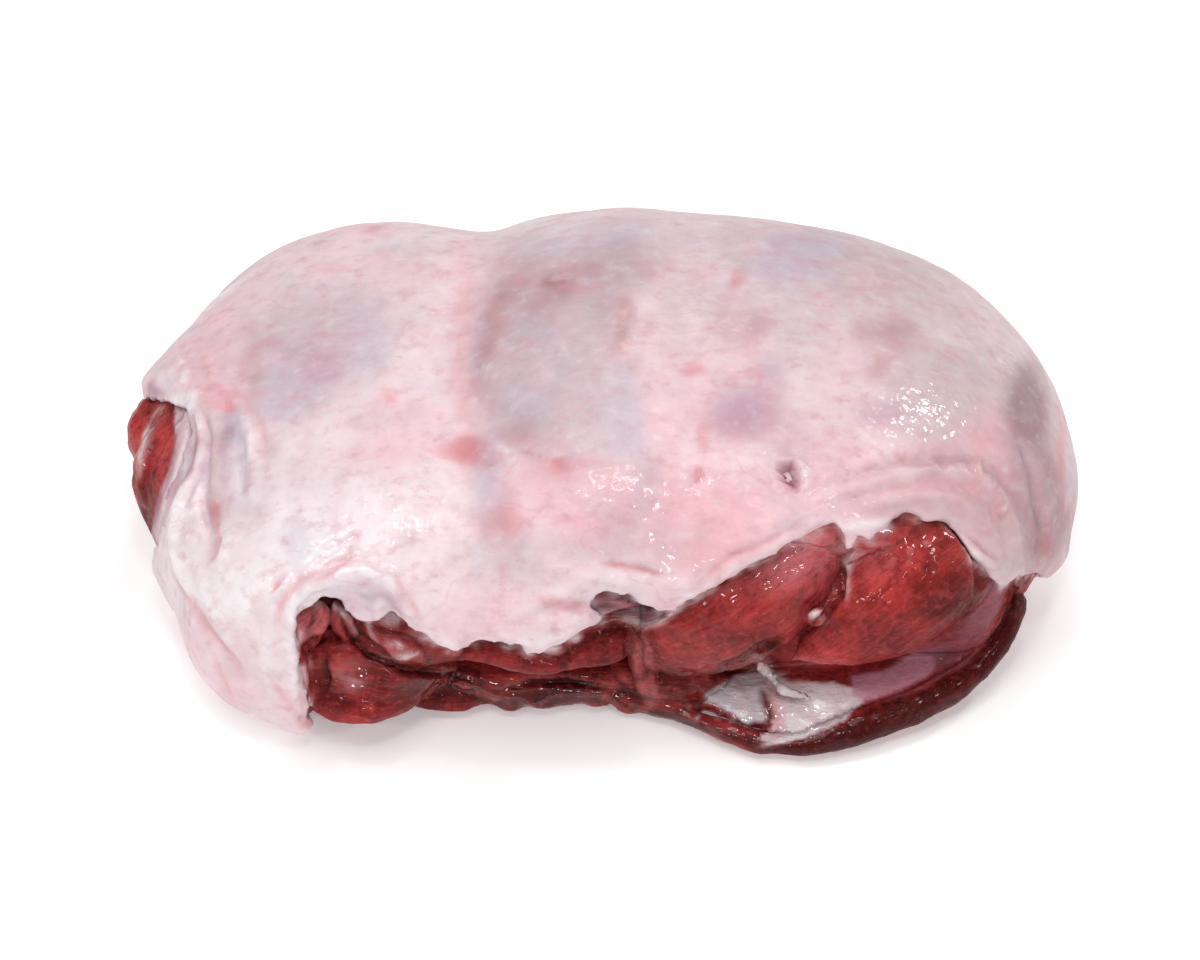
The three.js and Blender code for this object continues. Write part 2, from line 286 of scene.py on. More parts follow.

# spots of colour on the fat, some of them painted shade: x, y, half width, half height, colour, strength
FAT_SPOTS = stronger(spots([
    # the first spot, a broad beige over the crown, is painted shade that darkens the top
    (760, 310, 330, 140, "beige", 0.32), (410, 430, 110, 230, "shell", 0.8),
    (300, 355, 80, 62, "grey", 0.85), (345, 315, 60, 50, "grey", 0.7),
    (280, 395, 40, 30, "slate", 0.45), (325, 362, 24, 20, "purple", 0.5),
    (252, 362, 13, 24, "brown", 0.4), (272, 340, 16, 8, "purple", 0.4),
    (300, 350, 22, 7, "dusk", 0.18), (340, 262, 110, 24, "blush", 0.6),
    (400, 232, 70, 10, "lilac", 0.6), (345, 226, 45, 10, "pink", 0.5),
    (205, 335, 38, 42, "pink", 0.55), (185, 372, 34, 30, "pink", 0.65),
    (225, 395, 30, 14, "rose", 0.45), (430, 300, 50, 60, "blush", 0.6),
    (462, 330, 13, 70, "rose", 0.4), (462, 400, 14, 40, "rose", 0.4),
    (400, 425, 38, 36, "pink", 0.45), (385, 455, 30, 12, "rose", 0.3),
    (420, 545, 62, 78, "cream", 0.95), (330, 500, 80, 45, "lilac", 0.75),
    (558, 350, 84, 110, "grey", 0.95), (540, 350, 62, 90, "beige", 0.35),
    (490, 335, 11, 34, "brown", 0.55), (508, 288, 24, 16, "brown", 0.45),
    (556, 290, 20, 10, "brown", 0.7), (622, 318, 11, 30, "brown", 0.5),
    (628, 345, 8, 8, "rose", 0.4), (515, 432, 24, 10, "brown", 0.55),
    (525, 405, 30, 22, "slate", 0.5), (530, 330, 30, 28, "slate", 0.35),
    (485, 395, 12, 16, "brown", 0.45), (490, 370, 10, 14, "slate", 0.5),
    (640, 240, 62, 18, "slate", 0.55), (560, 250, 55, 14, "slate", 0.35),
    (600, 215, 40, 8, "blush", 0.5), (470, 448, 26, 13, "red", 0.42),
    (450, 450, 26, 10, "rose", 0.6), (510, 512, 18, 28, "rose", 0.75),
    (505, 530, 16, 12, "red", 0.12), (672, 330, 30, 115, "blush", 0.85),
    (660, 420, 22, 50, "pink", 0.6), (700, 395, 18, 30, "pink", 0.45),
    (742, 420, 32, 22, "purple", 0.75), (770, 385, 20, 26, "purple", 0.35),
    (756, 326, 14, 14, "purple", 0.45), (722, 300, 24, 60, "lilac", 0.25),
    (735, 245, 20, 26, "beige", 0.5), (800, 250, 46, 30, "purple", 0.35),
    (812, 262, 60, 34, "slate", 0.7), (890, 280, 70, 44, "beige", 0.8),
    (888, 334, 34, 20, "brown", 0.55), (872, 360, 26, 20, "pink", 0.35),
    (835, 400, 40, 70, "blush", 0.6), (840, 470, 50, 20, "pink", 0.5),
    (950, 400, 52, 60, "beige", 0.85), (985, 440, 34, 30, "rose", 0.28),
    (940, 455, 30, 12, "rose", 0.4), (1010, 470, 14, 12, "red", 0.16),
    # these darker grey spots down the right side are painted shade, where the side turns from the light
    (1028, 412, 19, 48, "dusk", 0.85), (1040, 505, 22, 60, "dusk", 0.6),
    (1022, 455, 14, 20, "purple", 0.3), (1066, 470, 8, 60, "rose", 0.7),
    (1050, 350, 16, 30, "lilac", 0.5), (1058, 520, 14, 30, "dusk", 0.4),
    (590, 500, 70, 46, "pink", 0.75), (700, 500, 62, 44, "pink", 0.85),
    (520, 565, 50, 28, "grey", 0.45), (560, 555, 40, 16, "blush", 0.5),
    (590, 600, 50, 18, "cream", 0.4), (645, 480, 12, 36, "slate", 0.45),
    (600, 540, 40, 14, "slate", 0.3), (700, 556, 46, 22, "rose", 0.42),
    (660, 530, 30, 20, "pink", 0.6), (790, 500, 60, 24, "pink", 0.65),
    (870, 500, 80, 20, "pink", 0.75), (950, 500, 56, 20, "blush", 0.5),
    (985, 545, 40, 34, "blush", 0.55), (300, 560, 70, 56, "white", 0.85),
    (228, 600, 54, 90, "white", 0.9), (246, 478, 26, 40, "lilac", 0.7),
    (185, 520, 22, 70, "white", 0.6), (260, 660, 40, 60, "cream", 0.8),
    (270, 655, 14, 40, "lilac", 0.5), (226, 448, 15, 42, "purple", 0.75),
    (212, 470, 10, 50, "beige", 0.5), (236, 440, 12, 24, "slate", 0.5),
    (214, 508, 7, 17, "red", 0.6), (228, 440, 10, 26, "dusk", 0.35),
    (560, 228, 70, 14, "lilac", 0.6), (320, 282, 50, 20, "lilac", 0.4),
    (215, 545, 8, 12, "rose", 0.5), (205, 560, 18, 30, "cream", 0.5),
    (232, 665, 20, 34, "pink", 0.5), (180, 590, 12, 40, "lilac", 0.4),
    (195, 640, 14, 30, "pink", 0.4), (240, 700, 30, 12, "pink", 0.5),
    (310, 718, 12, 8, "rose", 0.5), (150, 385, 8, 12, "purple", 0.7),
    (178, 405, 14, 9, "white", 0.9), (620, 268, 42, 24, "dusk", 0.3),
    (528, 268, 40, 13, "brown", 0.3), (732, 325, 26, 30, "brown", 0.35),
    (892, 414, 34, 16, "purple", 0.4), (876, 366, 14, 12, "brown", 0.4),
    (782, 440, 26, 40, "purple", 0.25), (566, 462, 40, 26, "brown", 0.25),
    (492, 478, 20, 60, "slate", 0.5), (628, 420, 18, 60, "slate", 0.4),
    (482, 345, 14, 44, "purple", 0.3), (372, 352, 22, 22, "slate", 0.45),
    # the last spot here is partly white fat at the edge, partly a painted glint
    (390, 394, 8, 8, "rose", 0.5), (566, 606, 22, 8, "red", 0.3), (692, 604, 14, 8, "white", 0.9),
    (1052, 500, 22, 50, "brown", 0.6), (1040, 556, 24, 28, "brown", 0.6),
    (1046, 540, 10, 24, "red", 0.3), (1002, 436, 36, 24, "rose", 0.3),
    (985, 500, 40, 16, "rose", 0.25), (975, 500, 80, 42, "brown", 0.34),
    (1020, 545, 36, 44, "brown", 0.3), (890, 500, 60, 18, "brown", 0.16),
    (950, 480, 60, 16, "rose", 0.25), (1000, 560, 26, 16, "beige", 0.5),
    (560, 400, 70, 60, "slate", 0.2), (680, 300, 24, 60, "beige", 0.35),
    (1025, 410, 22, 46, "dusk", 0.4), (420, 520, 60, 70, "shell", 0.5),
    (330, 530, 50, 30, "lilac", 0.5), (240, 470, 20, 30, "lilac", 0.8),
    (546, 300, 34, 20, "dusk", 0.3), (600, 300, 16, 30, "dusk", 0.25),
    (366, 600, 34, 18, "lilac", 0.9), (366, 604, 28, 11, "grey", 0.7),
    (390, 604, 12, 9, "purple", 0.45), (640, 505, 80, 40, "rose", 0.26),
    (560, 472, 60, 22, "rose", 0.2), (725, 520, 50, 36, "rose", 0.28),
    (468, 452, 24, 16, "red", 0.3), (504, 530, 24, 22, "red", 0.2), (563, 462, 22, 9, "red", 0.22),
    (554, 292, 28, 12, "red", 0.2), (498, 314, 13, 28, "brown", 0.45),
    (494, 352, 14, 12, "brown", 0.4), (628, 318, 9, 22, "brown", 0.4),
    (745, 424, 48, 20, "rose", 0.25), (733, 278, 8, 9, "red", 0.3), (694, 374, 12, 6, "red", 0.25),
    (700, 440, 7, 13, "red", 0.25), (520, 300, 30, 16, "brown", 0.35),
    (580, 276, 34, 9, "brown", 0.35), (746, 418, 34, 24, "purple", 0.5),
    # these darker grey spots on the crown are painted shade
    (540, 340, 62, 80, "dusk", 0.1), (506, 420, 40, 14, "dusk", 0.2),
    (500, 296, 30, 10, "dusk", 0.2), (566, 296, 26, 10, "dusk", 0.2),
    (168, 378, 14, 14, "white", 0.6), (156, 394, 6, 10, "purple", 0.6),
    (180, 396, 16, 7, "white", 0.9),
]))

# colour, size, seed and strength of the mottling all over the fat
FAT_MOTTLE = [
    ("beige", 14, 31, 0.22), ("slate", 9, 34, 0.24), ("pink", 7, 37, 0.2), ("cream", 6, 80, 0.15),
    ("brown", 4, 83, 0.15),
]

# folds, veins and scratches of the fat: width in pixels, lift in millimetres, colour, strength, pixels
FAT_LINES = drawn_lines(bolder([
    (12, -1, "grey", 0.35, [(338, 592), (352, 600), (368, 604), (386, 600)]),
    (3, 0.3, "purple", 0.7, [(380, 606), (390, 600), (398, 608), (404, 618)]),
    (3, 0.4, "white", 0.8, [(372, 612), (382, 604), (392, 606)]),
    (5, 0.6, "white", 0.8, [(150, 397), (172, 399), (190, 407), (199, 425), (194, 455), (182, 490),
        (170, 524)]),
    (3, -0.5, "purple", 0.6, [(204, 420), (204, 450), (194, 480), (184, 510)]),
    (4, -0.4, "plum_dark", 0.9, [(192, 410), (196, 440), (188, 470), (174, 503)]),
    (3.5, -0.4, "plum_dark", 0.9, [(180, 436), (171, 472), (160, 508), (153, 540)]),
    (4, -0.5, "rose", 0.6, [(196, 492), (206, 512), (214, 530)]),
    (4.5, -0.9, "brown", 0.45, [(808, 493), (838, 480), (872, 468), (920, 461), (968, 462), (998, 474),
        (1018, 500), (1030, 540), (1032, 570)]),
    (6, 0.9, "blush", 0.5, [(818, 500), (850, 488), (890, 476), (935, 470), (975, 474), (1000, 492),
        (1014, 525), (1020, 560)]),
    (4, -0.6, "rose", 0.4, [(835, 505), (870, 492), (920, 484), (965, 488), (990, 505), (1004, 535),
        (1010, 565)]),
    (5, 0.6, "pink", 0.3, [(850, 514), (885, 500), (930, 494), (962, 502), (985, 522), (1000, 552)]),
    (3, -0.5, "red", 0.3, [(950, 526), (968, 538), (985, 552), (1003, 563)]),
    (4, 0.7, "white", 0.35, [(958, 535), (975, 552), (995, 568), (1012, 578)]),
    (3.5, -0.6, "brown", 0.5, [(1024, 560), (1030, 580), (1028, 600)]),
    # the darker grey line down the right side is painted shade in a fold
    (4, -0.8, "dusk", 0.5, [(1015, 430), (1030, 470), (1038, 520), (1036, 570)]),
    (5, 0.8, "beige", 0.3, [(1028, 450), (1046, 500), (1050, 545)]),
    (7, -2.2, "wine", 0.95, [(784, 456), (788, 470), (796, 492)]),
    (4, -1, "wine", 0.95, [(785, 458), (789, 472), (795, 488)]),
    (5, 1.1, "white", 0.5, [(795, 458), (802, 472), (806, 486)]),
    (4, 0.7, "rose", 0.35, [(779, 470), (783, 486), (790, 498)]),
    (4, -0.4, "rose", 0.5, [(815, 475), (820, 484)]),
    (4, -0.5, "red", 0.45, [(600, 562), (640, 568), (668, 578)]),
    (6, 0.6, "cream", 0.5, [(590, 575), (640, 582), (690, 586), (722, 575)]),
    (3, -0.3, "red", 0.3, [(545, 457), (560, 464), (571, 476)]),
    (3.5, -0.4, "red", 0.5, [(694, 466), (699, 476), (693, 486)]),
    (3, -0.3, "red", 0.38, [(738, 275), (730, 284)]),
    (3, -0.2, "rose", 0.5, [(690, 363), (705, 372)]),
    (2.5, 0.3, "white", 0.5, [(484, 363), (498, 378)]),
    (2.5, -0.3, "dusk", 0.3, [(478, 366), (492, 382)]),
    (3, 0.3, "lilac", 0.6, [(490, 440), (508, 452), (520, 462)]),
    (3, -0.3, "brown", 0.5, [(500, 437), (520, 448), (545, 458)]),
    (3, -0.3, "brown", 0.4, [(485, 455), (495, 470)]),
    (3, 0.3, "white", 0.4, [(560, 340), (568, 352)]),
    (3, -0.3, "brown", 0.4, [(550, 347), (560, 356)]),
    (3, -0.2, "rose", 0.5, [(545, 512), (575, 522), (600, 545)]),
    (3, -0.2, "rose", 0.4, [(560, 535), (590, 545), (605, 560)]),
    (3, -0.3, "rose", 0.4, [(495, 375), (510, 379)]),
    (4, -0.3, "rose", 0.55, [(360, 232), (383, 224)]),
    (3, -0.2, "rose", 0.4, [(300, 272), (335, 268), (370, 262)]),
    (3, -0.3, "red", 0.3, [(220, 402), (232, 407)]),
    (3, -0.3, "red", 0.3, [(944, 262), (950, 267)]),
    (3, -0.4, "purple", 0.8, [(175, 338), (205, 305), (235, 280), (250, 266)]),
    (4, 0.5, "white", 0.5, [(190, 330), (215, 303), (245, 277)]),
    (3, -0.4, "red", 0.35, [(890, 450), (905, 463), (935, 465), (975, 461)]),
    (3, -0.4, "red", 0.3, [(995, 500), (1002, 515), (1008, 505)]),
    (3, 0.5, "white", 0.4, [(1000, 503), (1003, 512)]),
    (5, -0.3, "purple", 0.5, [(180, 412), (182, 440), (175, 480), (163, 528)]),
    (4, -0.2, "slate", 0.6, [(190, 424), (188, 452), (180, 488)]),
    (4, 0.4, "rose", 0.5, [(196, 345), (206, 366), (216, 386), (232, 400)]),
    (4, 0.5, "white", 0.7, [(178, 352), (185, 372), (178, 392)]),
    (4, -0.4, "rose", 0.5, [(196, 395), (215, 402), (236, 406), (256, 420)]),
    (4, 0.5, "white", 0.6, [(150, 600), (168, 640), (190, 676), (214, 702)]),
    (5, -0.8, "grey", 0.5, [(196, 398), (206, 430), (204, 470), (203, 505), (212, 540), (208, 570)]),
    (6, 0.8, "white", 0.5, [(186, 470), (176, 520), (176, 560), (188, 600), (205, 640)]),
    (4, -0.7, "rose", 0.5, [(170, 545), (176, 580), (192, 606), (214, 640), (236, 660), (244, 690)]),
    (5, 0.7, "white", 0.4, [(195, 560), (205, 600), (226, 640), (248, 668)]),
    (4, -0.5, "rose", 0.45, [(246, 398), (262, 430), (268, 470)]),
    (5, 0.5, "white", 0.5, [(236, 400), (250, 430), (256, 470), (252, 505)]),
    (4, -0.6, "slate", 0.5, [(240, 420), (245, 460), (240, 500)]),
    (4, -0.6, "rose", 0.55, [(212, 500), (220, 535), (212, 560)]),
    (5, 0.6, "white", 0.7, [(222, 520), (228, 540), (218, 565)]),
    (4, 0.5, "white", 0.6, [(246, 492), (256, 486)]),
    (4, -0.5, "rose", 0.5, [(212, 655), (220, 680), (232, 700)]),
    (4, -0.5, "rose", 0.45, [(272, 680), (285, 700), (298, 715)]),
    (5, -0.5, "lilac", 0.5, [(280, 640), (284, 670), (290, 700)]),
    (8, 1.3, "white", 0.7, [(296, 700), (292, 660), (287, 630), (292, 602), (312, 584), (340, 573),
        (365, 572), (388, 582), (403, 602), (418, 622)]),
    (5, -0.7, "rose", 0.45, [(276, 640), (280, 604), (300, 580), (330, 565), (352, 560), (385, 566)]),
    (4, -0.5, "rose", 0.5, [(395, 578), (408, 600), (420, 618)]),
    (4, 0.7, "white", 0.8, [(270, 600), (285, 588), (290, 575)]),
    (3.5, -0.6, "rose", 0.6, [(270, 592), (282, 580)]),
    (3.5, 0.6, "white", 0.7, [(300, 575), (320, 566), (345, 552)]),
    (3.5, -0.5, "rose", 0.5, [(310, 584), (330, 575), (345, 560), (350, 545)]),
    (4, 0.5, "white", 0.8, [(300, 545), (330, 540), (350, 528)]),
    (4, -0.4, "rose", 0.5, [(345, 545), (358, 530)]),
    (7, 0.8, "white", 0.8, [(440, 640), (455, 646), (466, 638)]),
    (6, 0.6, "white", 0.5, [(480, 632), (500, 632), (520, 640), (545, 642), (575, 628), (598, 610)]),
    (5, -0.5, "grey", 0.4, [(520, 620), (545, 612), (575, 600)]),
    (6, 0.7, "cream", 0.5, [(664, 604), (690, 600), (712, 585), (735, 566), (762, 552), (790, 538),
        (830, 515)]),
    (4, -0.5, "rose", 0.5, [(690, 592), (712, 575), (735, 556), (770, 542), (810, 520)]),
    (5, 0.6, "white", 0.6, [(838, 520), (846, 530), (856, 528), (880, 522), (895, 512)]),
]))

# wet spots on the fat: x, y, half width, half height, strength
WET_FAT = spots([
    (935, 372, 34, 36, 0.9), (998, 368, 24, 26, 1), (925, 425, 34, 20, 0.9),
    (965, 415, 34, 24, 0.7), (985, 470, 30, 16, 0.6), (330, 555, 75, 50, 0.9),
    (650, 520, 26, 50, 0.9), (690, 556, 36, 22, 0.7), (240, 560, 34, 50, 0.5),
    (225, 500, 30, 60, 0.4), (806, 478, 8, 12, 0.6), (560, 350, 10, 10, 0.5),
    (495, 372, 14, 14, 0.5), (510, 448, 22, 12, 0.5), (300, 483, 18, 6, 0.6),
    (700, 480, 12, 14, 0.6), (750, 470, 12, 14, 0.5), (870, 500, 70, 22, 0.35),
    (300, 640, 20, 60, 0.6), (990, 510, 22, 26, 0.5), (600, 500, 40, 30, 0.4),
])

# spots of colour on the meat, in rows like those of the fat
LEAN_SPOTS = spots([
    (345, 690, 44, 30, "dark_meat", 0.3), (340, 668, 24, 12, "fascia", 0.6),
    (352, 684, 14, 6, "tissue", 0.4), (326, 704, 24, 9, "dark_meat", 0.6),
    (388, 618, 12, 9, "silver", 0.7), (314, 624, 24, 26, "bright", 0.9),
    (316, 620, 20, 20, "pale_meat", 0.75), (400, 640, 24, 10, "pale_meat", 0.4),
    (430, 690, 50, 22, "dark_meat", 0.5), (500, 655, 40, 12, "bright", 0.35),
    (600, 670, 30, 20, "dark_meat", 0.5), (560, 660, 40, 10, "bright", 0.2),
    (690, 640, 30, 26, "bright", 0.25), (676, 682, 30, 12, "dark_meat", 0.6),
    # the pale spot on the roll's right is partly a thin film, partly a painted sheen
    (750, 600, 54, 30, "bright", 0.7), (802, 558, 44, 34, "pale_meat", 0.9),
    (812, 550, 20, 22, "rose", 0.3), (740, 640, 30, 10, "dark_meat", 0.4),
    (880, 570, 64, 44, "bright", 0.6), (876, 556, 26, 22, "pale_meat", 0.35),
    # the dark spots on this line and the first on the next are painted shade by the gap at the tongue's
    # right end
    (966, 606, 24, 30, "dark_meat", 0.75), (972, 568, 10, 22, "dark_meat", 0.5),
    (984, 576, 9, 14, "wine_meat", 0.8), (816, 658, 42, 18, "bright", 1),
    (804, 660, 26, 10, "pale_meat", 0.7), (974, 580, 9, 26, "fascia", 0.45),
    (860, 630, 50, 16, "meat", 0.4), (845, 645, 40, 10, "bright", 0.4),
    # the first spot here is painted shade in the cavity under the roll
    (772, 648, 10, 7, "wine_meat", 0.7), (817, 618, 9, 6, "white", 0.95),
    (560, 696, 26, 11, "wine_meat", 0.75), (850, 742, 60, 12, "wine_meat", 0.9),
    # painted shade: dark spots by the gap and along the tongue's lower edge above the gutter
    (944, 602, 26, 24, "dark_meat", 0.4), (880, 646, 40, 12, "dark_meat", 0.35),
    (160, 440, 8, 30, "fascia", 0.5), (812, 706, 18, 12, "plum", 0.7),
    (800, 708, 20, 10, "white", 0.6), (745, 680, 10, 8, "umber", 0.7),
    (753, 702, 6, 12, "plum_dark", 0.6), (712, 694, 9, 5, "white", 0.8),
    (800, 738, 18, 6, "silver", 0.8), (135, 440, 12, 46, "bright", 0.9),
    (160, 440, 10, 36, "bright", 0.7), (148, 510, 10, 40, "dark_meat", 0.5),
])

# fibres, seams and pale edges of the meat, painted glints, and grooves darkened as painted shade, in rows
# like those of the fat's lines
LEAN_LINES = drawn_lines([
    # the recess under the fat's fold: its own grey-brown, darkened with these lines as painted shadow
    (4, -0.8, "deep", 0.9, [(598, 598), (622, 600), (645, 607), (662, 614)]),
    (3, -0.4, "dark_meat", 0.6, [(590, 600), (600, 594), (616, 594)]),
    (3, -0.4, "deep", 0.6, [(592, 610), (604, 606), (618, 608)]),
    (3, 0.1, "fascia", 0.6, [(604, 602), (620, 604), (640, 613)]),
    (3, -0.5, "dark_meat", 0.5, [(905, 545), (895, 575), (870, 605)]),
    (3, -0.5, "dark_meat", 0.5, [(930, 550), (925, 580), (905, 610)]),
    (3, -0.4, "dark_meat", 0.4, [(950, 560), (948, 590), (930, 620)]),
    (3, -0.5, "dark_meat", 0.5, [(760, 585), (745, 610), (720, 635)]),
    (3, -0.4, "dark_meat", 0.4, [(720, 600), (705, 625), (680, 650)]),
    # near-black lines from here are grooves, cut in and darkened as painted shade
    (4, -2.4, "deep", 0.9, [(338, 602), (347, 630), (368, 652), (405, 668), (450, 676), (490, 688)]),
    (4, -1.2, "deep", 0.7, [(300, 650), (314, 640), (330, 636), (344, 642)]),
    # the raised lip round the left lobe is lighter partly as a painted highlight; the dark line inside it
    # is painted shade in its groove
    (6, 1.5, "bright", 0.55, [(312, 646), (305, 662), (306, 688), (316, 707), (338, 715), (372, 716),
        (404, 710)]),
    (6, -1.2, "dark_meat", 0.5, [(322, 654), (316, 670), (319, 692), (332, 704), (360, 706),
        (396, 702)]),
    (3, -1.2, "deep", 0.7, [(324, 696), (321, 668), (328, 650)]),
    (3, -0.8, "deep", 0.5, [(314, 604), (312, 620), (304, 636)]),
    # these white strands between knob and strap are partly pale tissue, partly painted glints
    (3.5, 0.7, "white", 0.8, [(345, 612), (351, 624), (360, 637)]),
    (3, 0.6, "white", 0.7, [(367, 620), (369, 632), (378, 642)]),
    (3.5, 0.6, "white", 0.85, [(384, 642), (397, 644), (408, 650)]),
    (3.5, 0.6, "white", 0.85, [(392, 654), (408, 655), (422, 650)]),
    (3, 0.3, "tissue", 0.5, [(352, 608), (366, 620), (372, 632)]),
    # a crevice along the lower band, cut in and darkened as painted shade
    (5, -2.2, "deep", 0.9, [(494, 690), (530, 682), (570, 683), (610, 690), (632, 690)]),
    (3, -0.8, "dark_meat", 0.6, [(560, 640), (566, 655), (560, 672)]),
    (3, -0.7, "dark_meat", 0.6, [(600, 630), (606, 650), (600, 672)]),
    (3, -0.6, "dark_meat", 0.5, [(520, 650), (524, 662), (516, 676)]),
    (2.5, -0.8, "dark_meat", 0.7, [(622, 622), (626, 655), (636, 700)]),
    (2.5, -0.6, "dark_meat", 0.6, [(648, 622), (654, 655), (668, 694)]),
    (3, -1.8, "dark_meat", 0.85, [(836, 520), (841, 545), (842, 575), (837, 598), (824, 616),
        (806, 630), (790, 644)]),
    (4, 0.4, "tissue", 0.8, [(847, 540), (847, 575), (846, 606)]),
    (5, 0.7, "white", 0.95, [(604, 615), (622, 621), (645, 626), (662, 622), (678, 612)]),
    (3, 0.3, "silver", 0.8, [(748, 650), (762, 660), (778, 668)]),
    (2.5, 0.3, "white", 0.7, [(756, 664), (768, 674), (774, 684)]),
    (2.5, 0.4, "white", 0.5, [(712, 684), (730, 690), (748, 704)]),
    (2.5, 0.3, "purple", 0.5, [(730, 670), (744, 690), (756, 716)]),
    (4, 0.5, "pale_meat", 0.3, [(655, 704), (690, 718), (735, 734), (765, 746)]),
    (3, 0.5, "plum", 0.5, [(868, 706), (920, 690), (968, 660), (1000, 622), (1010, 596)]),
    (6, 1.2, "rose", 0.85, [(770, 684), (772, 700), (777, 720), (778, 736), (768, 744)]),
    (4, -1, "dark_meat", 0.9, [(763, 682), (764, 700), (769, 716), (764, 732)]),
    (4.5, 1.2, "white", 0.95, [(754, 658), (763, 668), (773, 677), (784, 688), (790, 698)]),
    (3.5, 0.6, "white", 0.9, [(790, 690), (801, 693), (813, 703), (828, 714)]),
    (4, 0.7, "white", 0.95, [(758, 748), (776, 744), (792, 738), (806, 730)]),
    # the short white marks from here, on the inner fat and along the rim's top, are painted glints,
    # raised a little
    (4, 0.6, "white", 0.95, [(836, 706), (846, 704), (857, 699)]),
    (4, 0.6, "white", 0.9, [(821, 718), (829, 711)]),
    (4, 0.5, "white", 0.9, [(788, 720), (792, 726)]),
    (4, 0.5, "white", 0.9, [(801, 718), (806, 725)]),
    (4, 0.5, "silver", 0.8, [(704, 690), (716, 700), (730, 709), (744, 716)]),
    (3.5, 0.6, "white", 0.95, [(685, 704), (691, 708)]),
    (3.5, 0.6, "white", 0.95, [(696, 713), (700, 717)]),
    (3.5, 0.6, "white", 0.95, [(717, 713), (723, 719)]),
    (4, 0.6, "white", 0.95, [(730, 724), (736, 717)]),
    (4, 0.6, "white", 0.95, [(739, 715), (746, 721), (751, 725)]),
    # painted shade in the wedge under the roll
    (5, -0.4, "dark_meat", 0.7, [(700, 682), (722, 671), (746, 658), (768, 648)]),
    (4, 0.6, "white", 0.95, [(166, 400), (155, 416), (147, 434), (142, 456), (139, 482)]),
    (3, 0.4, "white", 0.9, [(184, 412), (185, 440), (175, 470), (164, 505), (156, 535)]),
    (5, -0.5, "plum_dark", 0.75, [(193, 414), (192, 444), (181, 478), (170, 505)]),
    (5, -0.4, "plum_dark", 0.8, [(176, 430), (168, 465), (158, 505), (152, 540)]),
])

# wet spots on the meat
WET_LEAN = spots([
    (760, 664, 18, 14, 1), (700, 716, 40, 12, 0.8), (690, 590, 20, 10, 0.8),
    (475, 688, 60, 12, 0.7), (870, 700, 40, 10, 0.7), (745, 690, 24, 22, 0.8),
    (300, 620, 14, 20, 0.5), (350, 676, 18, 14, 0.7), (735, 575, 50, 26, 1),
    (800, 560, 40, 34, 0.7), (890, 530, 50, 22, 0.9), (940, 530, 30, 24, 0.6),
    (860, 560, 16, 50, 0.6), (800, 668, 30, 10, 1), (720, 720, 60, 18, 1), (800, 722, 44, 24, 1),
    (450, 682, 40, 12, 1), (520, 695, 40, 12, 1), (600, 695, 60, 14, 0.9), (350, 680, 30, 14, 0.6),
    (400, 650, 26, 12, 0.9), (900, 694, 60, 18, 0.3), (735, 690, 40, 30, 0.6),
    (990, 560, 14, 20, 0.7), (690, 640, 50, 30, 0.3), (140, 450, 20, 60, 0.4),
])

# how far each colour of an area hides the streaks of the meat
AREA_PLAINNESS = {
    "silver": 0.85, "tissue": 0.85, "plum": 0.85, "plum_dark": 0.6, "umber": 0.85, "lilac": 0.85,
    "fascia": 0.3, "wine_meat": 0.6,
}

# areas of the meat: colour, strength, softness of the edge, roughness of the surface, outline
LEAN_AREAS = drawn([
    ("silver", 0.85, 1.2, 0.15, [(703, 692), (722, 681), (752, 667), (766, 677), (768, 700), (766, 722),
        (745, 722), (722, 706)]),
    ("tissue", 0.92, 0.9, 0.9, [(764, 664), (790, 684), (830, 684), (858, 690), (870, 698), (845, 720),
        (825, 733), (800, 742), (768, 748), (756, 744), (772, 726), (766, 700)]),
    ("plum", 0.9, 1.6, 0.1, [(848, 676), (880, 670), (905, 658), (936, 645), (946, 655), (930, 676),
        (905, 690), (866, 704), (850, 700)]),
    ("plum_dark", 0.85, 1.6, 0.1, [(930, 648), (955, 630), (975, 606), (985, 585), (1000, 588),
        (1002, 606), (988, 634), (958, 662), (936, 674)]),
    ("fascia", 0.6, 1.2, 0.2, [(622, 618), (640, 620), (650, 655), (660, 700), (644, 706), (634, 670)]),
    # the umber area is that recess under the fat's fold, its own grey-brown darkened as painted shadow
    ("umber", 0.9, 1, 0.4, [(578, 610), (598, 588), (625, 590), (650, 600), (668, 612), (655, 624),
        (625, 620), (606, 616)]),
    ("lilac", 0.8, 0.8, 0.1, [(172, 402), (190, 406), (200, 425), (193, 455), (181, 490), (167, 530),
        (158, 558), (146, 552), (154, 520), (160, 490), (168, 460), (173, 435), (171, 418)]),
    ("wine_meat", 0.9, 1.2, 0.3, [(640, 712), (700, 728), (760, 752), (800, 764), (860, 758),
        (930, 730), (990, 690), (1030, 630), (1034, 590), (1012, 596), (1000, 624), (975, 655),
        (930, 688), (880, 706), (850, 720), (830, 738), (800, 748), (765, 744), (735, 732), (690, 716),
        (655, 704)]),
])

# dents in the meat: x, y, half width and half height, and depth in millimetres
LEAN_DENTS = spots([
    (352, 678, 36, 24, 3.4), (420, 690, 40, 14, 1),
])

# ---------------------------------------------------------------- small helpers


def bump(value, centre, width):
    return np.exp(-(((value - centre) / width) ** 2))


def smoothstep(value, start, end):
    share = np.clip((value - start) / (end - start), 0, 1)
    return share * share * (3 - 2 * share)


def smooth_min(a, b, blend):
    """The lower of a and b, rounded over where they are within blend of each other."""
    share = np.clip(0.5 + 0.5 * (b - a) / blend, 0, 1)
    return b + (a - b) * share - blend * share * (1 - share)


def smooth_max(a, b, blend):
    return -smooth_min(-a, -b, blend)


LATTICE_SIDE = 64
LATTICE = np.random.default_rng(11).uniform(-1, 1, LATTICE_SIDE**3).astype(np.float32)
SEED_SHIFT = 17.3


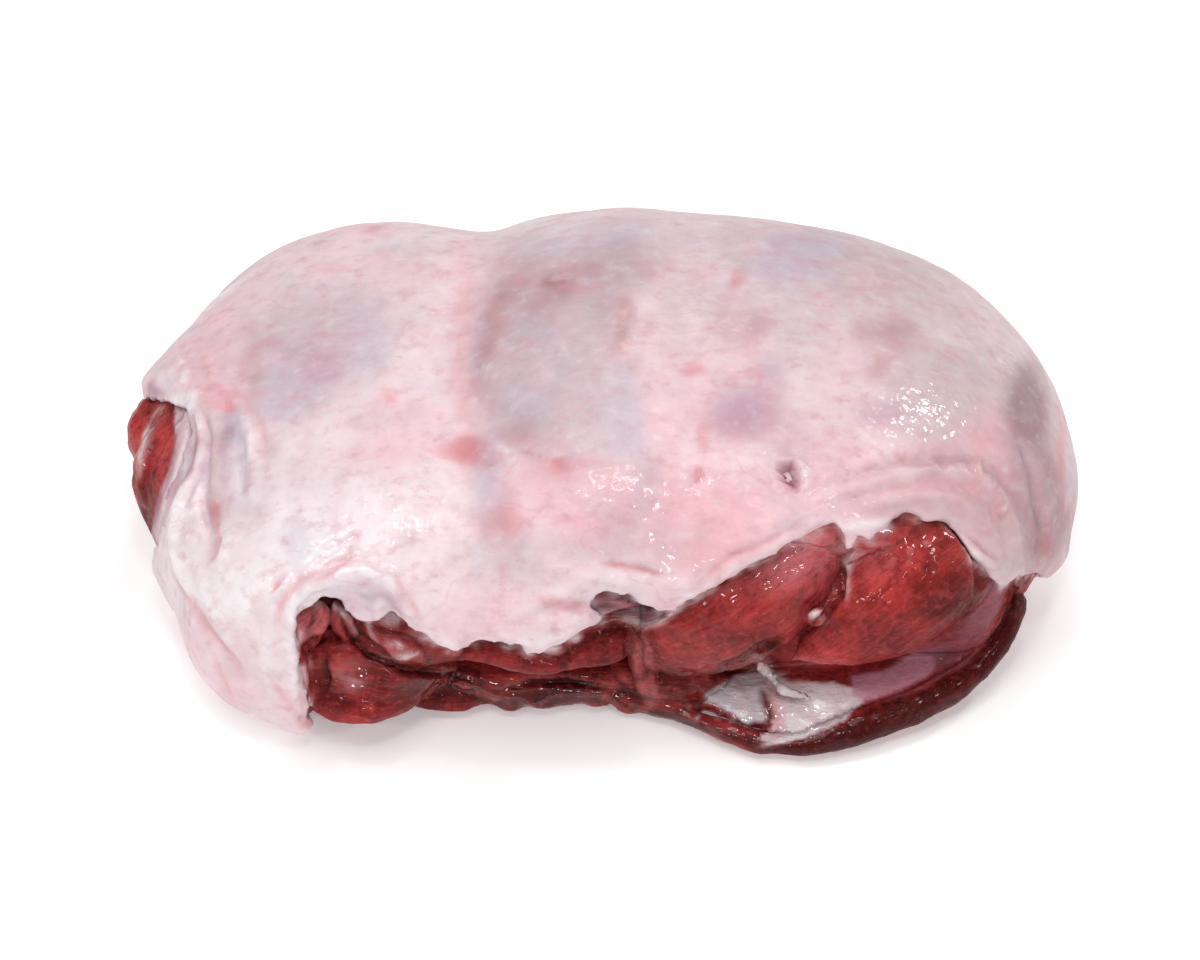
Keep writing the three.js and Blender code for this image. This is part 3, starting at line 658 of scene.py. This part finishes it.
def noise(points, size, seed):
    """Smooth noise from -1 to 1, in blobs about size across."""
    cell = (points / size + SEED_SHIFT * seed).astype(np.float32)
    base = np.floor(cell)
    part = cell - base
    part = part * part * (3 - 2 * part)
    base = base.astype(np.int64)
    total = 0
    for corner in itertools.product((0, 1), repeat=3):
        weight, index = 1, 0
        for axis, near in enumerate(corner):
            weight = weight * (part[:, axis] if near else 1 - part[:, axis])
            index = index * LATTICE_SIDE + (base[:, axis] + near) % LATTICE_SIDE
        total = total + weight * LATTICE[index]
    return total


def layered_noise(points, size, seed, layers=3):
    """Noise with finer layers added, each half as strong and half as large as the one before."""
    return sum(noise(points, size / 2**i, seed + i) / 2**i for i in range(layers)) / 1.5


def waves(points, rows):
    return sum(height * noise(points, size, seed) for height, size, seed in rows)


def seen(points):
    """Where the camera sees points, in millimetres across and up from its target."""
    tilt = math.radians(VIEW_ELEVATION)
    across, back, above = (points - VIEW_TARGET).T
    up = back * math.sin(tilt) + above * math.cos(tilt)
    toward = above * math.sin(tilt) - back * math.cos(tilt)
    scale = VIEW_DISTANCE / (VIEW_DISTANCE - toward)
    return across * scale, up * scale


def facing(normal):
    """1 where a surface faces the camera, and 0 where it faces away."""
    tilt = math.radians(VIEW_ELEVATION)
    direction = (0, -math.cos(tilt), math.sin(tilt))
    return smoothstep(normal @ np.array(direction, np.float32), -0.05, 0.2)


def wandering(points, across, up):
    """The same places moved a little by noise, for natural edges."""
    return across + waves(points, WANDER_ACROSS), up + waves(points, WANDER_UP)


def between(first, second, share):
    """Places part of the way from the first ones to the second ones."""
    return [(1 - share) * a + share * b for a, b in zip(first, second)]


# ---------------------------------------------------------------- the body under the fat


def crown_height(x):
    shank_drop = SHANK_DROP * (1 - smoothstep(x, -70, 10))
    valleys = sum(deep * bump(x, centre, spread) for centre, spread, deep in CROWN_VALLEYS)
    return HEIGHT - FAT_THICKNESS - shank_drop - valleys


def centre_line(x):
    return CENTRE_Y + SHANK_SET_BACK * (1 - smoothstep(x, -120, -10))


def plan_radius(azimuth):
    a = LENGTH / 2 - FAT_THICKNESS
    b = DEPTH / 2 - FAT_THICKNESS
    squared = np.abs(np.cos(azimuth) / a) ** PLAN_POWER + np.abs(np.sin(azimuth) / b) ** PLAN_POWER
    radius = squared ** (-1 / PLAN_POWER)
    for centre, spread, swell in PLAN_SWELLS:
        turn = (np.degrees(azimuth) - centre + 180) % 360 - 180
        radius = radius + swell * bump(turn, 0, spread)
    return radius


def skin_level(x, y, z):
    """0 on the skin under the fat, negative inside, and positive outside."""
    across = y - centre_line(x)
    share = np.hypot(x, across) / plan_radius(np.arctan2(across, x))
    above = z > WIDEST_HEIGHT
    power = np.where(above, CROWN_POWER, BELLY_POWER)
    reach = np.where(above, crown_height(x) - WIDEST_HEIGHT, BELLY_DEPTH)
    rise = np.abs(z - WIDEST_HEIGHT) / reach
    return (share**power + rise**power) ** (1 / power) - 1


# ---------------------------------------------------------------- outlines, lines and spots


def nearest_on(start, end, across, up):
    """How far along a straight piece of line the nearest place is, from 0 to 1, and how far away."""
    (ax, ay), run, climb = start, end[0] - start[0], end[1] - start[1]
    share = np.clip(((across - ax) * run + (up - ay) * climb) / (run**2 + climb**2), 0, 1)
    return share, np.hypot(across - ax - share * run, up - ay - share * climb)


def edge_distance(edge, across, up):
    """Distance to a closed outline, negative inside it."""
    nearest = np.full(across.shape, np.inf, np.float32)
    inside = np.zeros(across.shape, bool)
    for start, end in zip(edge, edge[1:] + edge[:1]):
        nearest = np.minimum(nearest, nearest_on(start, end, across, up)[1])
        (ax, ay), (bx, by) = start, end
        if by != ay:
            inside ^= ((ay > up) != (by > up)) & (across < (bx - ax) * (up - ay) / (by - ay) + ax)
    return np.where(inside, -nearest, nearest)


def line_weight(line, width, across, up):
    """1 along the middle of a line, fading to its sides and its ends."""
    nearest = np.full(across.shape, np.inf, np.float32)
    along = np.zeros(across.shape, np.float32)
    passed = 0
    for start, end in itertools.pairwise(line):
        length = math.dist(start, end)
        share, gap = nearest_on(start, end, across, up)
        along = np.where(gap < nearest, passed + share * length, along)
        nearest = np.minimum(nearest, gap)
        passed += length
    taper = np.sin(np.pi * np.clip(along / passed, 0.03, 0.97)) ** 0.6
    return taper * bump(nearest, 0, width * (0.45 + 0.55 * taper))


def spot_weight(spot, across, up, power=3):
    """1 in the middle of a spot, fading at its edge, the more sharply the higher the power."""
    x, y, width, height = spot
    return np.exp(-(np.hypot((across - x) / width, (up - y) / height) ** power))


def area_weights(points, normal, areas):
    """How far inside each outlined area the points are, from 0 to 1."""
    straight = seen(points)
    across, up = between(straight, wandering(points, *straight), 0.5)
    front = facing(normal)
    return [
        front * smoothstep(-edge_distance(outline, across, up), -softness / 2, softness / 2)
        for _, _, softness, _, outline in areas
    ]


# ---------------------------------------------------------------- muscles


def curve_through(rows, count):
    """Points on a smooth curve through rows of numbers."""
    rows = np.array(rows, float)
    ends = np.vstack([2 * rows[0] - rows[1], rows, 2 * rows[-1] - rows[-2]])
    made = []
    for where in np.linspace(0, len(rows) - 1, count):
        i = min(int(where), len(rows) - 2)
        t = where - i
        a, b, c, d = ends[i : i + 4]
        bend, twist = 2 * a - 5 * b + 4 * c - d, 3 * b - a - 3 * c + d
        made.append(0.5 * (2 * b + (c - a) * t + bend * t**2 + twist * t**3))
    return np.array(made)


def muscle_shape(points, spread, path, count=24):
    """Distance to a muscle, and where each point is along it and round it, in millimetres."""
    share = (1 - np.cos(np.pi * np.linspace(0, 1, count))) / 2
    fine = curve_through(path, 200)
    spine = fine[np.round(share * (len(fine) - 1)).astype(int)]
    spine[:, 3] *= np.sin(np.pi * np.clip(share, 0.02, 0.98)) ** 0.6
    best = np.full(len(points), np.inf, np.float32)
    along, round_it = np.zeros(len(points), np.float32), np.zeros(len(points), np.float32)
    run = 0
    for start, end in itertools.pairwise(spine):
        axis = end[:3] - start[:3]
        length = np.linalg.norm(axis)
        if length < 0.05:
            continue
        forward = axis / length
        side = np.cross((0, 0, 1), forward)
        side /= np.linalg.norm(side)
        rise = np.cross(forward, side)
        local = points - start[:3]
        part = np.clip(local @ forward / length, 0, 1)
        sideways = local @ side / spread
        upwards = local @ rise
        beyond = local @ forward - part * length
        radius = start[3] + part * (end[3] - start[3])
        distance = np.sqrt(sideways**2 + upwards**2 + beyond**2) - radius
        closer = distance < best
        best = np.where(closer, distance, best)
        along = np.where(closer, run + part * length, along)
        round_it = np.where(closer, np.arctan2(sideways, upwards) * (start[3] + 4), round_it)
        run += length
    return best, along, round_it


def near_muscle(points, spread, path):
    """Which points are in a muscle's box."""
    path = np.array(path, float)
    reach = 1.3 * path[:, 3:] * max(1, spread) + 3
    low, high = (path[:, :3] - reach).min(axis=0), (path[:, :3] + reach).max(axis=0)
    return ((points > low) & (points < high)).all(axis=1)


# ---------------------------------------------------------------- sample grids and meshes


class Grid:
    """A box of evenly spaced sample points."""

    def __init__(self, low, high, step):
        self.low, self.step = np.array(low, float), step
        counts = [int(round((b - a) / step)) + 1 for a, b in zip(low, high)]
        axes = [a + step * np.arange(n, dtype=np.float32) for a, n in zip(low, counts)]
        self.x, self.y, self.z = np.meshgrid(*axes, indexing="ij", sparse=True)
        self.shape = tuple(counts)

    def points(self, chosen):
        """The points that a mask picks out."""
        return (np.argwhere(chosen) * self.step + self.low).astype(np.float32)

    def sample(self, field, points):
        """A field's value at the grid point nearest to each point."""
        index = np.round((points - self.low) / self.step).astype(int)
        index = np.clip(index, 0, np.array(self.shape) - 1)
        return field[tuple(index.T)]

    def mesh(self, name, field):
        """An object, in millimetres, of the surface where a field is 0."""
        volume = openvdb.FloatGrid(background=float(3 * self.step))
        volume.copyFromArray(np.ascontiguousarray(field, np.float32))
        volume.transform = openvdb.createLinearTransform(self.step)
        points, triangles, quads = volume.convertToPolygons(isovalue=0.0)
        faces = [*triangles.tolist(), *quads.tolist()]
        mesh = bpy.data.meshes.new(name)
        mesh.from_pydata((points + self.low).tolist(), [], faces)
        mesh.update()
        return add_object(name, mesh)


def add_object(name, data):
    made = bpy.data.objects.new(name, data)
    bpy.context.scene.collection.objects.link(made)
    return made


def true_distance(level, step):
    """A field scaled so that it grows by 1 for each millimetre near its surface."""
    slopes = np.gradient(level, step)
    return (level / np.sqrt(sum(s * s for s in slopes) + 1e-9)).astype(np.float32)


def vectors(items, name):
    """A three-number property of each item, such as each vertex's place."""
    flat = np.empty(len(items) * 3, np.float32)
    items.foreach_get(name, flat)
    return flat.reshape(-1, 3)


def move_points(mesh, points):
    mesh.vertices.foreach_set("co", np.ascontiguousarray(points, np.float32).ravel())
    mesh.update()


def thin_out(piece, keep):
    """Merges faces where the surface is plainest, until that share of them is left."""
    modifier = piece.modifiers.new("thin", "DECIMATE")
    modifier.ratio = keep
    graph = bpy.context.evaluated_depsgraph_get()
    mesh = bpy.data.meshes.new_from_object(piece.evaluated_get(graph))
    old, piece.data = piece.data, mesh
    bpy.data.meshes.remove(old)
    piece.modifiers.clear()


# ---------------------------------------------------------------- colour and relief


def linear(colour):
    """A 0 to 255 screen colour as the scene's own values."""
    share = np.asarray(colour, float) / 255
    return np.where(share <= 0.04045, share / 12.92, ((share + 0.055) / 1.055) ** 2.4)


def lay(colours, name, weight):
    """Lays a named colour over the points' colours, as strongly as each point's weight."""
    colours += weight[:, None] * (np.array(COLOURS[name]) - colours)


def painted(points, normal, base, colour_spots, lines, areas=()):
    """Colours of the points, with every spot, area and line laid over the base."""
    colours = np.array(base, np.float32)
    front = facing(normal)
    straight = seen(points)
    loose = wandering(points, *straight)
    for *spot, name, strength in colour_spots:
        lay(colours, name, front * strength * spot_weight(spot, *loose))
    for (name, strength, *_), weight in zip(areas, area_weights(points, normal, areas)):
        lay(colours, name, strength * weight)
    across, up = between(straight, loose, 0.3)
    front = front * np.clip(0.85 + 0.6 * noise(points, 4, 50), 0, 1)
    for width, _, name, strength, line in lines:
        lay(colours, name, front * strength * line_weight(line, width, across, up))
    return colours


def line_lift(points, normal, lines):
    """How far the lines raise the surface."""
    straight = seen(points)
    across, up = between(straight, wandering(points, *straight), 0.3)
    front = facing(normal) * np.clip(0.9 + 0.5 * noise(points, 5, 51), 0, 1.2)
    return front * sum(lift * line_weight(line, width, across, up) for width, lift, _, _, line in lines)


def spots_total(points, normal, rows, power):
    """The sum of the spots at each point, each as strong as the last value of its row."""
    loose = wandering(points, *seen(points))
    return facing(normal) * sum(strength * spot_weight(spot, *loose, power) for *spot, strength in rows)


def add_colour(mesh, name, colours):
    layer = mesh.color_attributes.new(name=name, type="FLOAT_COLOR", domain="POINT")
    rows = np.ones((len(mesh.vertices), 4), np.float32)
    rows[:, :3] = linear(np.clip(colours, 0, 255))
    layer.data.foreach_set("color", rows.ravel())


def add_number(mesh, name, values):
    layer = mesh.attributes.new(name=name, type="FLOAT", domain="POINT")
    layer.data.foreach_set("value", np.ascontiguousarray(values, np.float32))


def add_vector(mesh, name, rows):
    layer = mesh.attributes.new(name=name, type="FLOAT_VECTOR", domain="POINT")
    layer.data.foreach_set("vector", np.ascontiguousarray(rows, np.float32).ravel())


# ---------------------------------------------------------------- the fields

grid = Grid((-132, -80, -4), (132, 94, 92), STEP)
depth = true_distance(skin_level(grid.x, grid.y, grid.z), grid.step)


def open_edge(points):
    """Distance outside the fat's edge, whether the open side's or the shank end's."""
    distance = np.full(len(points), 40, np.float32)
    front = points[:, 1] < OPEN_SIDE_Y
    distance[front] = edge_distance(FAT_EDGE, *seen(points[front]))
    distance = np.maximum(distance, points[:, 1] - OPEN_SIDE_Y)
    end = points[:, 0] < SHANK_FACE_X + SHANK_REACH
    shank = edge_distance(SHANK_EDGE, points[end, 1], points[end, 2])
    shank = np.minimum(shank, edge_distance(SHANK_FRONT_EDGE, *seen(points[end])))
    beyond = points[end, 0] - SHANK_FACE_X - SHANK_REACH
    distance[end] = np.minimum(distance[end], np.maximum(shank, beyond))
    torn = 1 + 0.8 * ragged_part(points)
    return distance + waves(points, EDGE_WAVES) + torn * waves(points, EDGE_TEARS)


def ragged_part(points):
    """1 where the fat thins to a torn edge, and 0 at the right, where its edge is thick."""
    return 1 - smoothstep(points[:, 0], 20, 60)


def fat_field():
    """The sheet of fat, which thins to a ragged edge along most of the open side."""
    field = np.full(grid.shape, 3 * grid.step, np.float32)
    near = (depth > -3) & (depth < 9) & (grid.z > -3)
    points = grid.points(near)
    out = depth[near]
    edge = open_edge(points)
    thick = FAT_THICKNESS + 0.5 * layered_noise(points, 34, 4) + bump(edge, 6, 4)
    thick -= (0.6 + 1.6 * ragged_part(points)) * bump(np.maximum(edge, 0), 0, 3)
    sheet = smooth_max(out - thick, TISSUE_GAP - out, SHEET_BLEND)
    sheet = smooth_max(sheet, -edge, EDGE_BLEND)
    hem = FAT_HEM + waves(points, HEM_WAVES) - points[:, 2]
    field[near] = smooth_max(sheet, hem, HEM_BLEND)
    return field


def lean_field(fat):
    """The body's meat, with a hollow in its open side that separate muscles lie in."""
    hollow = edge_distance(HOLLOW_EDGE, *np.broadcast_arrays(grid.x, grid.z))
    body = smooth_max(depth, -np.maximum(hollow, grid.y - HOLLOW_FACE_Y), HOLLOW_BLEND)
    body = smooth_max(body.astype(np.float32), -grid.z, BASE_BLEND).astype(np.float32)
    front = ((grid.y < MUSCLES_Y) | (grid.x < MUSCLES_X)) & (np.abs(depth) < 16) & (grid.z > -2)
    points = grid.points(front)
    field = body[front]
    for spread, path in MUSCLES.values():
        inside = near_muscle(points, spread, path)
        distance = muscle_shape(points[inside], spread, path)[0]
        field[inside] = smooth_min(field[inside], distance, MUSCLE_BLEND)
    for spread, path in CARVINGS.values():
        inside = near_muscle(points, spread, path)
        distance = muscle_shape(points[inside], spread, path)[0]
        field[inside] = smooth_max(field[inside], -distance, MUSCLE_BLEND)
    body[front] = smooth_max(field, -points[:, 2], REST_BLEND)
    return smooth_max(body, TISSUE_GAP - fat, SKIN_BLEND).astype(np.float32)


def lean_grain(points):
    """Each point's muscle, its place along and round that muscle, and how near the next one is."""
    best = np.full(len(points), 1.5, np.float32)
    second = np.full(len(points), 9.0, np.float32)
    rows = np.stack([points[:, 0], points[:, 2], points[:, 1]], axis=1)
    which = np.zeros(len(points), int)
    for number, (spread, path) in enumerate(MUSCLES.values(), 1):
        inside = near_muscle(points, spread, path)
        distance = np.full(len(points), np.inf, np.float32)
        grain = np.zeros((len(points), 3), np.float32)
        distance[inside], along, round_it = muscle_shape(points[inside], spread, path, 90)
        grain[inside] = np.stack([along, round_it, distance[inside]], axis=1) + 40 * number
        closer = distance < best
        second = np.where(closer, best, np.minimum(second, distance))
        rows[closer] = grain[closer]
        which[closer] = number
        best = np.where(closer, distance, best)
    return which, rows, second


fat_values = fat_field()
lean_values = lean_field(fat_values)

# ---------------------------------------------------------------- materials


class Nodes:
    """A material's node tree, with short ways to add nodes and links."""

    def __init__(self, name):
        self.material = bpy.data.materials.new(name)
        self.material.use_nodes = True
        self.tree = self.material.node_tree

    def set(self, socket, value):
        if isinstance(value, bpy.types.NodeSocket):
            self.tree.links.new(value, socket)
        else:
            socket.default_value = value

    def add(self, kind, inputs=(), **settings):
        node = self.tree.nodes.new(kind)
        for key, value in settings.items():
            setattr(node, key, value)
        for key, value in dict(inputs).items():
            self.set(node.inputs[key], value)
        return node

    def surface(self, inputs):
        """Sets the shader's sockets, and gives back the finished material."""
        for key, value in inputs.items():
            self.set(self.tree.nodes["Principled BSDF"].inputs[key], value)
        return self.material

    def attribute(self, name, output="Fac"):
        return self.add("ShaderNodeAttribute", attribute_name=name).outputs[output]

    def stretched(self, vector, scale):
        return self.add("ShaderNodeMapping", {"Vector": vector, "Scale": scale}).outputs["Vector"]

    def maths(self, operation, *values):
        return self.add("ShaderNodeMath", enumerate(values), operation=operation).outputs[0]

    def noise(self, vector, scale, detail, roughness=0.5):
        inputs = {"Vector": vector, "Scale": scale, "Detail": detail, "Roughness": roughness}
        return self.add("ShaderNodeTexNoise", inputs).outputs["Fac"]

    def spread(self, value, low, high, to_low, to_high):
        inputs = {"Value": value, "From Min": low, "From Max": high, "To Min": to_low, "To Max": to_high}
        return self.add("ShaderNodeMapRange", inputs).outputs["Result"]

    def mix(self, share, first, second):
        """Two colours mixed. The node's colours are its inputs 6 and 7 and its output 2."""
        inputs = {0: share, 6: first, 7: second}
        return self.add("ShaderNodeMix", inputs, data_type="RGBA").outputs[2]

    def bump(self, height, distance, strength, under=None):
        inputs = {"Height": height, "Distance": distance, "Strength": strength}
        if under is not None:
            inputs["Normal"] = under
        return self.add("ShaderNodeBump", inputs).outputs["Normal"]

    def speckled(self, colour, rows, where=None):
        """A colour with others over it, as rows of noise, its start and end, strength and colour say."""
        for value, start, end, strength, other in rows:
            share = self.spread(value, start, end, 0.0, strength)
            if where is not None:
                share = self.maths("MULTIPLY", share, where)
            colour = self.mix(share, colour, screen(*other))
        return colour

    def lined(self, colour, value, width, patchy, start, end, strength, other):
        """A colour with thin lines where a noise is middling, in patches where another is high."""
        off_middle = self.maths("ABSOLUTE", self.maths("SUBTRACT", value, 0.5))
        lines = self.spread(off_middle, 0.0, width, 1.0, 0.0)
        share = self.maths("MULTIPLY", lines, self.spread(patchy, start, end, 0.0, strength))
        return self.mix(share, colour, screen(*other))


def screen(*colour):
    return (*linear(colour), 1)


def fat_material():
    m = Nodes("fat")
    whole = m.add("ShaderNodeTexCoord").outputs["Object"]
    streaky = m.stretched(whole, (0.75, 1.1, 1))
    wet = m.attribute("wet")
    broad = m.noise(whole, 75, 4, 0.55)
    flecks = m.noise(streaky, 150, 5, 0.65)
    fine = m.noise(streaky, 300, 5, 0.6)
    colour = m.speckled(m.attribute("tint", "Color"), [
        (broad, 0.42, 0.7, 0.26, (206, 168, 178)),
        (flecks, 0.54, 0.7, 0.3, (214, 142, 150)),
        (flecks, 0.46, 0.3, 0.12, (222, 214, 214)),
        (fine, 0.52, 0.7, 0.28, (198, 152, 160)),
        (fine, 0.46, 0.28, 0.14, (252, 246, 247)),
    ])
    veins, patchy = m.noise(streaky, 60, 2), m.noise(whole, 28, 2)
    creases, wrinkles = m.noise(streaky, 380, 4, 0.55), m.noise(whole, 280, 1, 0.4)
    return m.surface({
        "Base Color": m.lined(colour, veins, 0.02, patchy, 0.48, 0.62, 0.16, (200, 118, 126)),
        "Subsurface Weight": 0.2,
        "Subsurface Radius": (1.0, 0.45, 0.35),
        "Subsurface Scale": 0.003,
        "Roughness": m.spread(wet, 0.0, 1.0, 0.5, 0.32),
        "Specular IOR Level": 0.3,
        "Coat Weight": m.spread(wet, 0.0, 1.0, 0.05, 1.0),
        "Coat Roughness": 0.12,
        "Normal": m.bump(creases, 0.0007, 0.45),
        "Coat Normal": m.bump(wrinkles, 0.0009, m.spread(wet, 0.0, 1.0, 0.3, 1.0)),
    })


def lean_material():
    m = Nodes("lean")
    whole = m.add("ShaderNodeTexCoord").outputs["Object"]
    fibres = m.stretched(m.attribute("grain", "Vector"), (0.3, 0.8, 0.8))
    wet = m.attribute("wet")
    streaks = m.noise(fibres, 1.0, 4, 0.55)
    lumps = m.noise(whole, 190, 4, 0.6)
    grit = m.noise(whole, 620, 3, 0.6)
    colour = m.speckled(m.attribute("tint", "Color"), [
        (streaks, 0.5, 0.3, 0.35, (56, 8, 8)),
        (streaks, 0.55, 0.8, 0.25, (218, 88, 84)),
        (lumps, 0.5, 0.75, 0.5, (60, 8, 8)),
        (lumps, 0.45, 0.25, 0.35, (220, 80, 78)),
        (grit, 0.52, 0.75, 0.45, (50, 6, 6)),
        (grit, 0.45, 0.28, 0.3, (228, 90, 86)),
    ], m.attribute("meat"))
    marbling, patchy = m.noise(fibres, 0.6, 3, 0.6), m.noise(whole, 60, 2)
    wrinkles = m.noise(whole, 230, 1, 0.4)
    return m.surface({
        "Base Color": m.lined(colour, marbling, 0.008, patchy, 0.54, 0.64, 0.3, (226, 170, 170)),
        "Subsurface Weight": 0.06,
        "Subsurface Radius": (1.0, 0.2, 0.15),
        "Subsurface Scale": 0.002,
        "Roughness": 0.5,
        "Specular IOR Level": 0.05,
        "Coat Weight": m.spread(wet, 0.0, 1.0, 0.16, 1.0),
        "Coat Roughness": 0.08,
        "Normal": m.bump(grit, 0.0005, 0.5, m.bump(streaks, 0.0009, 0.7)),
        "Coat Normal": m.bump(wrinkles, 0.0012, m.spread(wet, 0.0, 1.0, 0.6, 1.0)),
    })


# ---------------------------------------------------------------- the pieces


def make_fat():
    piece = grid.mesh("fat_cover_skin", fat_values)
    thin_out(piece, FAT_FACES_KEPT)
    mesh = piece.data
    points, normal = vectors(mesh.vertices, "co"), vectors(mesh.vertex_normals, "vector")
    outer = smoothstep(grid.sample(depth, points), 1.2, 2.8)

    # relief: the folds on the sides that the photograph doesn't show, the drawn lines, and small waves
    hidden = 1 - facing(normal)
    folds = np.clip(1 - np.abs(noise(points * (1, 1.5, 2), 26, 23)) / 0.1, 0, 1)
    folds *= hidden * smoothstep(noise(points, 34, 24), -0.1, 0.3)
    lift = outer * (line_lift(points, normal, FAT_LINES) + waves(points, FAT_WAVES) - 0.6 * folds)
    move_points(mesh, points + lift[:, None] * normal)

    # colour: broad grey and pink, the drawn spots and lines, then a finer mottling
    base = np.full((len(points), 3), COLOURS["shell"], float)
    mottle = layered_noise(points, 26, 30)
    lay(base, "grey", 1.3 * np.clip(mottle, 0, 1))
    lay(base, "pink", 1.3 * np.clip(-mottle, 0, 1))
    tint = painted(points, normal, base, FAT_SPOTS, FAT_LINES)
    for name, size, seed, strength in FAT_MOTTLE:
        lay(tint, name, strength * smoothstep(layered_noise(points, size, seed, 4), 0.05, 0.6))
    lay(tint, "rose", 0.35 * folds)
    add_colour(mesh, "tint", tint)

    damp = 0.8 * hidden * smoothstep(layered_noise(points, 20, 90), 0.15, 0.5)
    wet = np.clip(spots_total(points, normal, WET_FAT, 2), 0, 1)
    add_number(mesh, "wet", np.maximum(wet, damp))
    return piece


def make_lean():
    piece = grid.mesh("lean_meat_muscles", lean_values)
    thin_out(piece, LEAN_FACES_KEPT)
    mesh = piece.data
    points, normal = vectors(mesh.vertices, "co"), vectors(mesh.vertex_normals, "vector")
    which, grain, second = lean_grain(points)
    area_rows = list(zip(LEAN_AREAS, area_weights(points, normal, LEAN_AREAS)))

    # relief: lumps and fibres, the drawn lines and dents, and each area's own roughness
    fibres = 0.22 * noise(grain * (0.12, 1, 1), 2.0, 43)
    lift = (which > 0) * (waves(points, LEAN_LUMPS) + fibres) + line_lift(points, normal, LEAN_LINES)
    lift -= spots_total(points, normal, LEAN_DENTS, 4)
    rough = waves(points, AREA_LUMPS)
    for (_, _, _, roughness, _), weight in area_rows:
        lift = lift * (1 - 0.6 * weight) + roughness * weight * rough
    lift *= smoothstep(points[:, 2], 0.2, 2)
    move_points(mesh, points + lift[:, None] * normal)

    # colour: dark and bright meat, the drawn marks, painted shade in the crevices between muscles, and
    # film by the fat
    base = np.full((len(points), 3), COLOURS["meat"], float)
    lay(base, "dark_meat", 0.9 * np.clip(layered_noise(points, 8, 47), 0, 1))
    lay(base, "bright", 0.7 * np.clip(layered_noise(points, 6, 48), 0, 1))
    tint = painted(points, normal, base, LEAN_SPOTS, LEAN_LINES, LEAN_AREAS)
    # painted shade: near-black, the stronger the nearer another muscle's surface, in the crevices
    lay(tint, "deep", (which > 0) * 0.25 * np.exp(-np.clip(second - 0.3, 0, None) / 0.8))
    film = bump(open_edge(points), 0.3, 1.6) * np.clip(0.55 + 0.9 * noise(points, 3, 60), 0, 0.9)
    film *= smoothstep(points[:, 0], -100, -80)
    lay(tint, "tissue", film)
    add_colour(mesh, "tint", tint)

    meat = np.ones(len(points), np.float32)
    for (name, *_), weight in area_rows:
        meat -= AREA_PLAINNESS[name] * weight * meat
    add_number(mesh, "meat", meat * (1 - film))
    add_vector(mesh, "grain", grain)
    add_number(mesh, "wet", np.clip(spots_total(points, normal, WET_LEAN, 2), 0, 1))
    return piece


def finish_piece(piece, material):
    """Takes a piece from its own millimetres to the frame's metres, and hands it to the frame."""
    mesh = piece.data
    move_points(mesh, (vectors(mesh.vertices, "co") + FRAME_SHIFT) / MM_PER_METRE)
    mesh.shade_smooth()
    mesh.materials.append(material)
    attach(piece, "root")
    print(piece.name, sum(len(face.vertices) - 2 for face in mesh.polygons), "triangles")
    return piece


fat, lean = fat_material(), lean_material()
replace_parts(finish_piece(make_fat(), fat), "fat_cover")
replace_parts(finish_piece(make_lean(), lean), "lean_meat")

# ---------------------------------------------------------------- floor, light and camera, in metres

FLOOR_REACH = 3

# directions to the small lamps whose reflections make the wet glints, and their distance
GLINT_LAMPS = [
    (0.02, -0.3, 0.95), (-0.57, -0.5, 0.64), (0.57, 0.31, 0.71), (0.05, 0.64, 0.77),
    (-0.12, -0.8, 0.59), (0.4, -0.62, 0.68), (-0.2, 0.05, 0.98), (0.24, 0.14, 0.96),
]
GLINT_DISTANCE = 0.95
LIGHT_TARGET = Vector((0, 0, 0.03))


def add_floor():
    mesh = bpy.data.meshes.new("floor")
    corners = [(-1, -1), (1, -1), (1, 1), (-1, 1)]
    mesh.from_pydata([(FLOOR_REACH * x, FLOOR_REACH * y, 0) for x, y in corners], [], [(0, 1, 2, 3)])
    mesh.materials.append(Nodes("floor").surface({
        "Base Color": (0.98, 0.98, 0.98, 1),
        "Roughness": 0.9,
        "Specular IOR Level": 0.05,
        "Emission Color": (1, 1, 1, 1),
        "Emission Strength": 0.2,
    }))
    floor = add_object("floor", mesh)


def add_light(name, where, size, power):
    light = bpy.data.lights.new(name, "AREA")
    light.shape = "DISK"
    light.size = size
    light.energy = power
    lamp = add_object(name, light)
    lamp.location = where
    lamp.rotation_euler = (LIGHT_TARGET - Vector(where)).to_track_quat("-Z", "Y").to_euler()


def add_camera():
    camera = bpy.data.cameras.new("camera")
    camera.lens = LENS
    camera.sensor_width = SENSOR
    tilt = math.radians(VIEW_ELEVATION)
    back = np.array((0, -math.cos(tilt), math.sin(tilt))) * VIEW_DISTANCE
    eye = add_object("camera", camera)
    eye.location = (VIEW_TARGET + FRAME_SHIFT + back) / MM_PER_METRE
    eye.rotation_euler = (math.radians(90 - VIEW_ELEVATION), 0, 0)
    bpy.context.scene.camera = eye


def add_world():
    world = bpy.data.worlds.new("studio")
    world.use_nodes = True
    background = world.node_tree.nodes["Background"]
    background.inputs["Color"].default_value = (1, 1, 1, 1)
    background.inputs["Strength"].default_value = 0.35
    bpy.context.scene.world = world
    bpy.context.scene.view_settings.view_transform = "Standard"


add_floor()
add_camera()
add_light("softbox_above", (-0.2, -0.15, 1.1), 0.7, 3.3)
for number, direction in enumerate(GLINT_LAMPS, 1):
    add_light(f"glint_{number}", [GLINT_DISTANCE * part for part in direction], 0.1, 0.66)
add_world()
